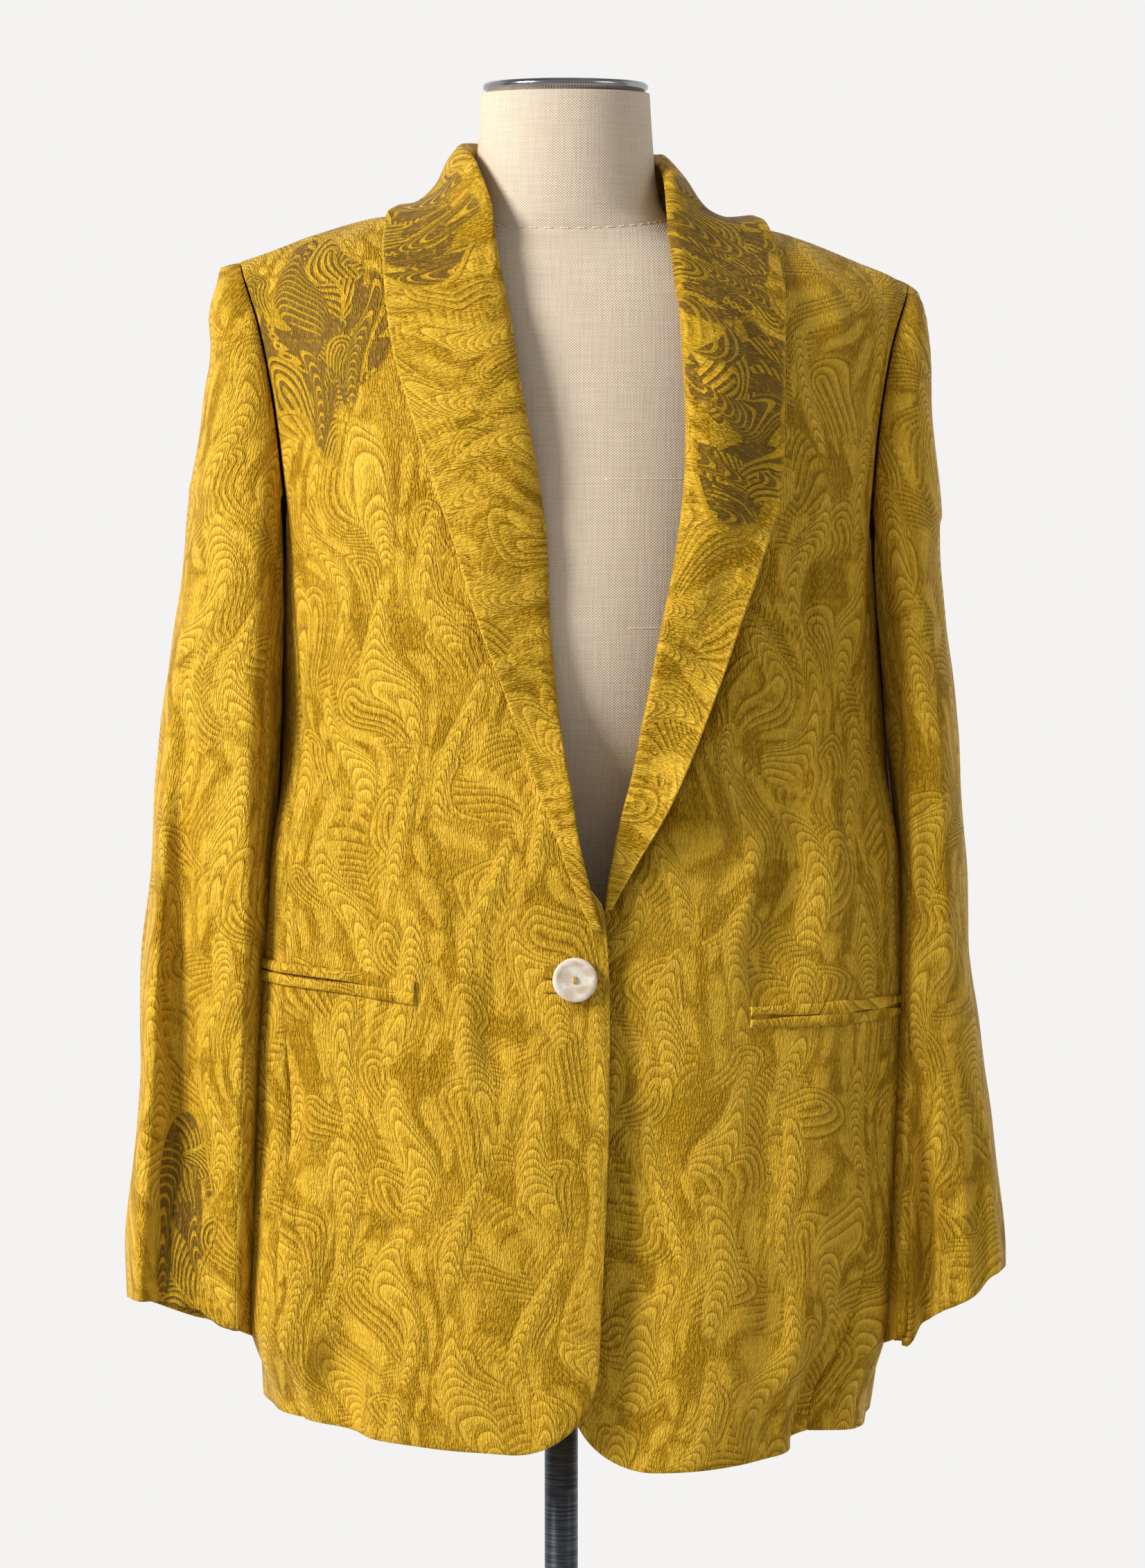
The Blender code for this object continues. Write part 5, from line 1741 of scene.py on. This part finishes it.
def lathe(name, profile, sides, closed=True):
    """A turned mesh from a profile of radius and height, listed from the middle outward."""
    points = []
    for radius, height in profile:
        for k in range(sides):
            angle = 2 * math.pi * k / sides
            points.append((radius * math.sin(angle), -radius * math.cos(angle), height))
    index = np.arange(len(points)).reshape(len(profile), sides)
    nearer, further = index[:-1], index[1:]
    faces = list(quads(nearer, further, np.roll(further, -1, 1), np.roll(nearer, -1, 1)))
    if closed:
        faces += [index[0], index[-1][::-1]]
    return build_mesh(name, points, faces)


def rounded(profile, count):
    """A smooth profile through a few points of radius and height."""
    flat = np.array([(radius, 0, height) for radius, height in profile], dtype=float)
    return [(x, z) for x, _, z in respaced(flat, count)]


BUTTON_PLACE = on_front("right", BUTTON_X, BUTTON_Z, BUTTON_LIFT)
BUTTON_NORMAL = (on_front("right", BUTTON_X, BUTTON_Z, BUTTON_LIFT + 1) - BUTTON_PLACE).normalized()
BUTTON_TURN = BUTTON_NORMAL.to_track_quat("Z", "Y").to_matrix().to_4x4()
BUTTON_SPOT = Matrix.Translation(BUTTON_PLACE * MM) @ BUTTON_TURN


def button_mesh():
    """The button's disc with a raised rim, its two holes cut through."""
    disc = linked("disc", lathe("disc", rounded(BUTTON_PROFILE, BUTTON_POINTS), BUTTON_SIDES))
    cutters = []
    for side in (-1, 1):
        shaft = lathe("shaft", [(BUTTON_HOLE_RADIUS, height) for height in SHAFT_ENDS], SHAFT_SIDES)
        cutter = linked("shaft", shaft)
        cutter.location = (0, side * BUTTON_HOLE_APART * MM, 0)
        cut = disc.modifiers.new("hole", "BOOLEAN")
        cut.operation = "DIFFERENCE"
        cut.object = cutter
        cutters.append(cutter)
    seen = disc.evaluated_get(bpy.context.evaluated_depsgraph_get())
    mesh = bpy.data.meshes.new_from_object(seen)
    for item in [disc] + cutters:
        bpy.data.objects.remove(item)
    mesh.shade_smooth()
    mesh.transform(BUTTON_SPOT)
    return mesh


def tube(route, radius, sides, across=(1.0, 0.0, 0.0)):
    """Points and faces of a round thread along a route in the plane square to an axis."""
    route = np.array(route, dtype=float)
    way = np.gradient(route, axis=0)
    way /= np.linalg.norm(way, axis=1, keepdims=True)
    out = np.cross(way, across)
    turns = np.linspace(0, 2 * math.pi, sides, endpoint=False)[None, :, None]
    ring = np.cos(turns) * np.array(across) + np.sin(turns) * out[:, None]
    points = (route[:, None] + radius * ring).reshape(-1, 3)
    index = np.arange(len(points)).reshape(len(route), sides)
    faces = quads(index[:-1], np.roll(index[:-1], -1, 1), np.roll(index[1:], -1, 1), index[1:])
    return points, list(faces) + [index[0][::-1], index[-1]]


def thread_mesh():
    """Three strands side by side through the two holes."""
    points = []
    faces = []
    for offset in STRAND_OFFSETS:
        half = [(offset, BUTTON_HOLE_APART - spot["lean"], spot["height"]) for spot in STRAND]
        middle = (offset, 0, STRAND_TOP + STRAND_SPREAD * abs(offset))
        route = half + [middle] + [(x, -y, z) for x, y, z in reversed(half)]
        some, sides = tube(respaced(np.array(route, dtype=float), STRAND_POINTS), STRAND_RADIUS, STRAND_SIDES)
        faces += [face + sum(len(p) for p in points) for face in sides]
        points.append(some)
    mesh = build_mesh("strands", np.concatenate(points), faces)
    mesh.transform(BUTTON_SPOT)
    return mesh


place("button_shell", button_mesh(), PEARL, "mother_of_pearl", "button")
place("thread_strands", thread_mesh(), THREAD, "thread", "button_thread")


# Dress form

FORM_LOW = FORM[0]["height"]
FORM_TOP = FORM[-1]["height"]
FORM_SHOULDER = 1400
TORSO_ROWS = 90
NECK_SEAM = 1446
NECK_SEAM_DROP = 7
NECK_SEAM_DEPTH = 0.9
NECK_SEAM_REACH = 1.1
STITCH_RADIUS = 0.3
STITCH_SIDES = 6
STITCH_STEP = math.radians(6.5)
STITCH_SHARE = 0.55
STITCH_SPOTS = (-0.5, -0.25, 0, 0.25, 0.5)
STITCH_LIFT = 0.7
STITCHES_EACH_WAY = 14
# Pale pulled threads in the linen over the bust
BUST_THREADS = table("x0 x1 height", (24, 71, 1291), (38, 59, 1204))
BUST_POINTS = 24
BUST_LIFT = 0.1


def neck_seam(angle):
    return NECK_SEAM - NECK_SEAM_DROP * max(0, math.cos(angle)) ** 2


def torso_point(angle, height, out=0.0):
    half = read(FORM, "half_width", height)
    depth = read(FORM, "front" if math.cos(angle) > 0 else "back", height)
    lean = FORM_LEAN * (height - FORM_LOW)
    across = power(math.sin(angle), 2 / FORM_SQUARE)
    bulge = power(math.cos(angle), 2 / FORM_SQUARE)
    seam = NECK_SEAM_DEPTH * math.exp(-((height - neck_seam(angle)) / NECK_SEAM_REACH) ** 2)
    dip = 1 - (seam - out) / half
    return lean + half * across * dip, -depth * bulge * dip, height


def torso_threads():
    """The stitches of the neck's cover, and the pulled threads."""
    routes = []
    for k in range(-STITCHES_EACH_WAY, STITCHES_EACH_WAY + 1):
        angles = [STITCH_STEP * (k + STITCH_SHARE * share) for share in STITCH_SPOTS]
        routes.append([torso_point(angle, neck_seam(angle), STITCH_LIFT) for angle in angles])
    for row in BUST_THREADS:
        half = read(FORM, "half_width", row["height"])
        shares = np.linspace(row["x0"], row["x1"], BUST_POINTS) / half
        angles = [math.asin(share ** (FORM_SQUARE / 2)) for share in shares]
        routes.append([torso_point(angle, row["height"], BUST_LIFT) for angle in angles])
    return routes


def torso_grain(ring, heights):
    """The place in the weave of each corner of the torso's faces, measured along the linen."""
    rows = len(heights)
    around = np.cumsum(np.linalg.norm(np.roll(ring, -1, 1) - ring, axis=2), axis=1)
    around = np.concatenate([np.zeros((rows, 1)), around], axis=1)
    around -= around[:, [TORSO_SIDES // 2]]
    spots = np.stack([around, np.repeat(heights[:, None], TORSO_SIDES + 1, 1), 0 * around], axis=2)
    corners = [spots[:-1, :-1], spots[:-1, 1:], spots[1:, 1:], spots[1:, :-1]]
    return np.concatenate([np.stack(corners, axis=2).reshape(-1, 3), spots[0, :-1], spots[-1, :-1]])


def torso_mesh():
    """The linen-covered torso and neck, with the neck's sewn-on cover."""
    body = np.linspace(FORM_LOW, FORM_SHOULDER, TORSO_ROWS)
    neck = np.linspace(FORM_SHOULDER, FORM_TOP, TORSO_ROWS)
    heights = np.unique(np.concatenate([body, neck]))
    angles = [2 * math.pi * k / TORSO_SIDES - math.pi for k in range(TORSO_SIDES)]
    ring = np.array([[torso_point(angle, height) for angle in angles] for height in heights])
    index = np.arange(len(heights) * TORSO_SIDES).reshape(-1, TORSO_SIDES)
    faces = list(quads(index[:-1], np.roll(index[:-1], -1, 1), np.roll(index[1:], -1, 1), index[1:]))
    faces += [index[0][::-1], index[-1]]
    grain = torso_grain(ring, heights)
    points = ring.reshape(-1, 3).tolist()
    pale = (LINEN_WARP / 2 / MM, LINEN_WEFT / 2 / MM, 0)
    for route in torso_threads():
        more, more_faces = tube(route, STITCH_RADIUS, STITCH_SIDES, (0.0, 0.0, 1.0))
        faces += [np.array(face) + len(points) for face in more_faces]
        points += [tuple(point) for point in more]
        grain = np.concatenate([grain, [pale] * sum(len(face) for face in more_faces)])
    mesh = build_mesh("torso", points, faces)
    attribute(mesh, "grain", "FLOAT_VECTOR", "vector", grain * MM, "CORNER")
    return mesh


place("torso_linen", torso_mesh(), LINEN, "linen", "form_torso")

# Neck cap, pole and base plate, turned from profiles of radius and height
AXIS = 0.5
POLE_EDGE = 0.6
CAP_PROFILE = (
    (AXIS, 7.2),
    (25, 6.9),
    (44, 6.5),
    (48.2, 6.2),
    (49.6, 5.2),
    (49.8, 3.6),
    (49.3, 2.2),
    (48.0, 1.4),
    (47.6, 0.6),
    (46.5, 0.1),
    (30, 0),
    (AXIS, 0),
)
CAP_POINTS = 60
CAP_SIDES = 128
POLE_SIDES = 64
BASE_SIDES = 160
POLE_TOP = FORM_LOW - SEAM_GAP
POLE_LOW = BASE_TALL + SEAM_GAP
POLE_PROFILE = (
    (AXIS, POLE_TOP),
    (POLE_RADIUS - POLE_EDGE, POLE_TOP),
    (POLE_RADIUS, POLE_TOP - POLE_EDGE),
    (POLE_RADIUS, POLE_LOW + POLE_EDGE),
    (POLE_RADIUS - POLE_EDGE, POLE_LOW),
    (AXIS, POLE_LOW),
)
BASE_PROFILE = (
    (AXIS, BASE_TALL),
    (BASE_RADIUS - 6, BASE_TALL),
    (BASE_RADIUS - 2.5, BASE_TALL - 0.6),
    (BASE_RADIUS - 0.8, BASE_TALL - 2),
    (BASE_RADIUS, BASE_TALL - 4.5),
    (BASE_RADIUS, 0.8),
    (BASE_RADIUS - 0.8, 0),
    (AXIS, 0),
)
SEAT = FORM_TOP + SEAM_GAP
CAP_MESH = lathe("neck_cap", [(r, SEAT + h) for r, h in rounded(CAP_PROFILE, CAP_POINTS)], CAP_SIDES)
CAP_MESH.transform(Matrix.Translation((FORM_LEAN * (SEAT - FORM_LOW) * MM, 0, 0)))
place("neck_cap", CAP_MESH, CHROME, "chrome", "form_neck_cap")
place("pole_steel", lathe("pole_steel", POLE_PROFILE, POLE_SIDES), STEEL, "dark_steel", "form_pole")
place("base_steel", lathe("base_steel", BASE_PROFILE, BASE_SIDES), STEEL, "dark_steel", "form_base")


# Stage, light and camera. The paper's marks, the lamps and the camera are in metres.

STAGE_RADIUS = 8000
STAGE_COVE = 1500
STAGE_TALL = 7500
STAGE_FLAT = 3000
STAGE_SIDES = 128
COVE_STEPS = 16
PAPER_TONES = ((0.64, 0.635, 0.625, 1), (0.66, 0.655, 0.645, 1))
PAPER_DARK = (0.0, 0.0, 0.0, 1)
PAPER_GLOW = (1.0, 0.99, 0.975, 1)
PAPER_SCALE = 40.0
BEHIND_EDGE = (0.5, 1.2)
APART_EDGE = (3.0, 5.0)
BEHIND_GLOW = 0.575
APART_GLOW = 0.33
LAMPS = table(
    "name spot size watts colour",
    ("key", (-2.60, -1.56, 2.5), 1.2, 140, (1.0, 0.98, 0.95)),
    ("fill", (2.6, -1.6, 2.2), 1.6, 12, (1.0, 0.98, 0.96)),
)
LAMP_AIM = Vector((0, 0, 1.2))
SKY = (1.0, 0.99, 0.98, 1)
SKY_STRENGTH = 0.33
SENSOR_MM = 36
LENS_MM = 113.6
CAMERA_PLACE = (0.0069, -3.0, 1.32)
CAMERA_DOWN = 4.1


def stage_mesh():
    """A round floor that turns up into a wall all around."""
    profile = [(AXIS, 0), (STAGE_FLAT, 0)]
    for f in steps(COVE_STEPS):
        turn = math.pi / 2 * f
        radius = STAGE_RADIUS - STAGE_COVE * (1 - math.sin(turn))
        profile.append((radius, STAGE_COVE * (1 - math.cos(turn))))
    return lathe("backdrop", profile + [(STAGE_RADIUS, STAGE_TALL)], STAGE_SIDES, closed=False)


def paper():
    """Backdrop paper that glows far off and behind the form, so that its tone there is even."""
    n = Nodes("backdrop_paper")
    tooth = n.noise(n.object_place(), PAPER_SCALE, 2.0, "3D")["Fac"]
    x, y, _ = n.split(n.object_place())
    behind = n.step(y, *BEHIND_EDGE)
    apart = n.math("MAXIMUM", behind, n.step(n.vector("LENGTH", n.combine(x, y)), *APART_EDGE))
    n.surface(Base_Color=n.colour(apart, n.colour(tooth, *PAPER_TONES), PAPER_DARK), Roughness=0.9,
              Emission_Strength=n.fit(behind, BEHIND_GLOW, n.times(apart, APART_GLOW)),
              Specular_IOR_Level=0.0, Emission_Color=PAPER_GLOW)
    return n.material


def lamp(name, spot, size, watts, colour):
    light = bpy.data.lights.new(name, "AREA")
    light.shape = "DISK"
    light.size = size
    light.energy = watts
    light.color = colour
    made = linked(name, light)
    made.location = spot
    made.rotation_euler = (LAMP_AIM - Vector(spot)).to_track_quat("-Z", "Y").to_euler()


BACKDROP = linked("backdrop", stage_mesh())
BACKDROP.data.materials.append(paper())
for ROW in LAMPS:
    lamp(**ROW)
WORLD = bpy.data.worlds.new("studio")
WORLD.use_nodes = True
WORLD.node_tree.nodes["Background"].inputs["Color"].default_value = SKY
WORLD.node_tree.nodes["Background"].inputs["Strength"].default_value = SKY_STRENGTH
bpy.context.scene.world = WORLD
bpy.context.scene.view_settings.view_transform = "Standard"

VIEW = bpy.data.cameras.new("camera")
VIEW.sensor_width = SENSOR_MM
VIEW.lens = LENS_MM
EYE = linked("camera", VIEW)
EYE.location = CAMERA_PLACE
EYE.rotation_euler = (math.radians(90 - CAMERA_DOWN), 0, 0)
bpy.context.scene.camera = EYE
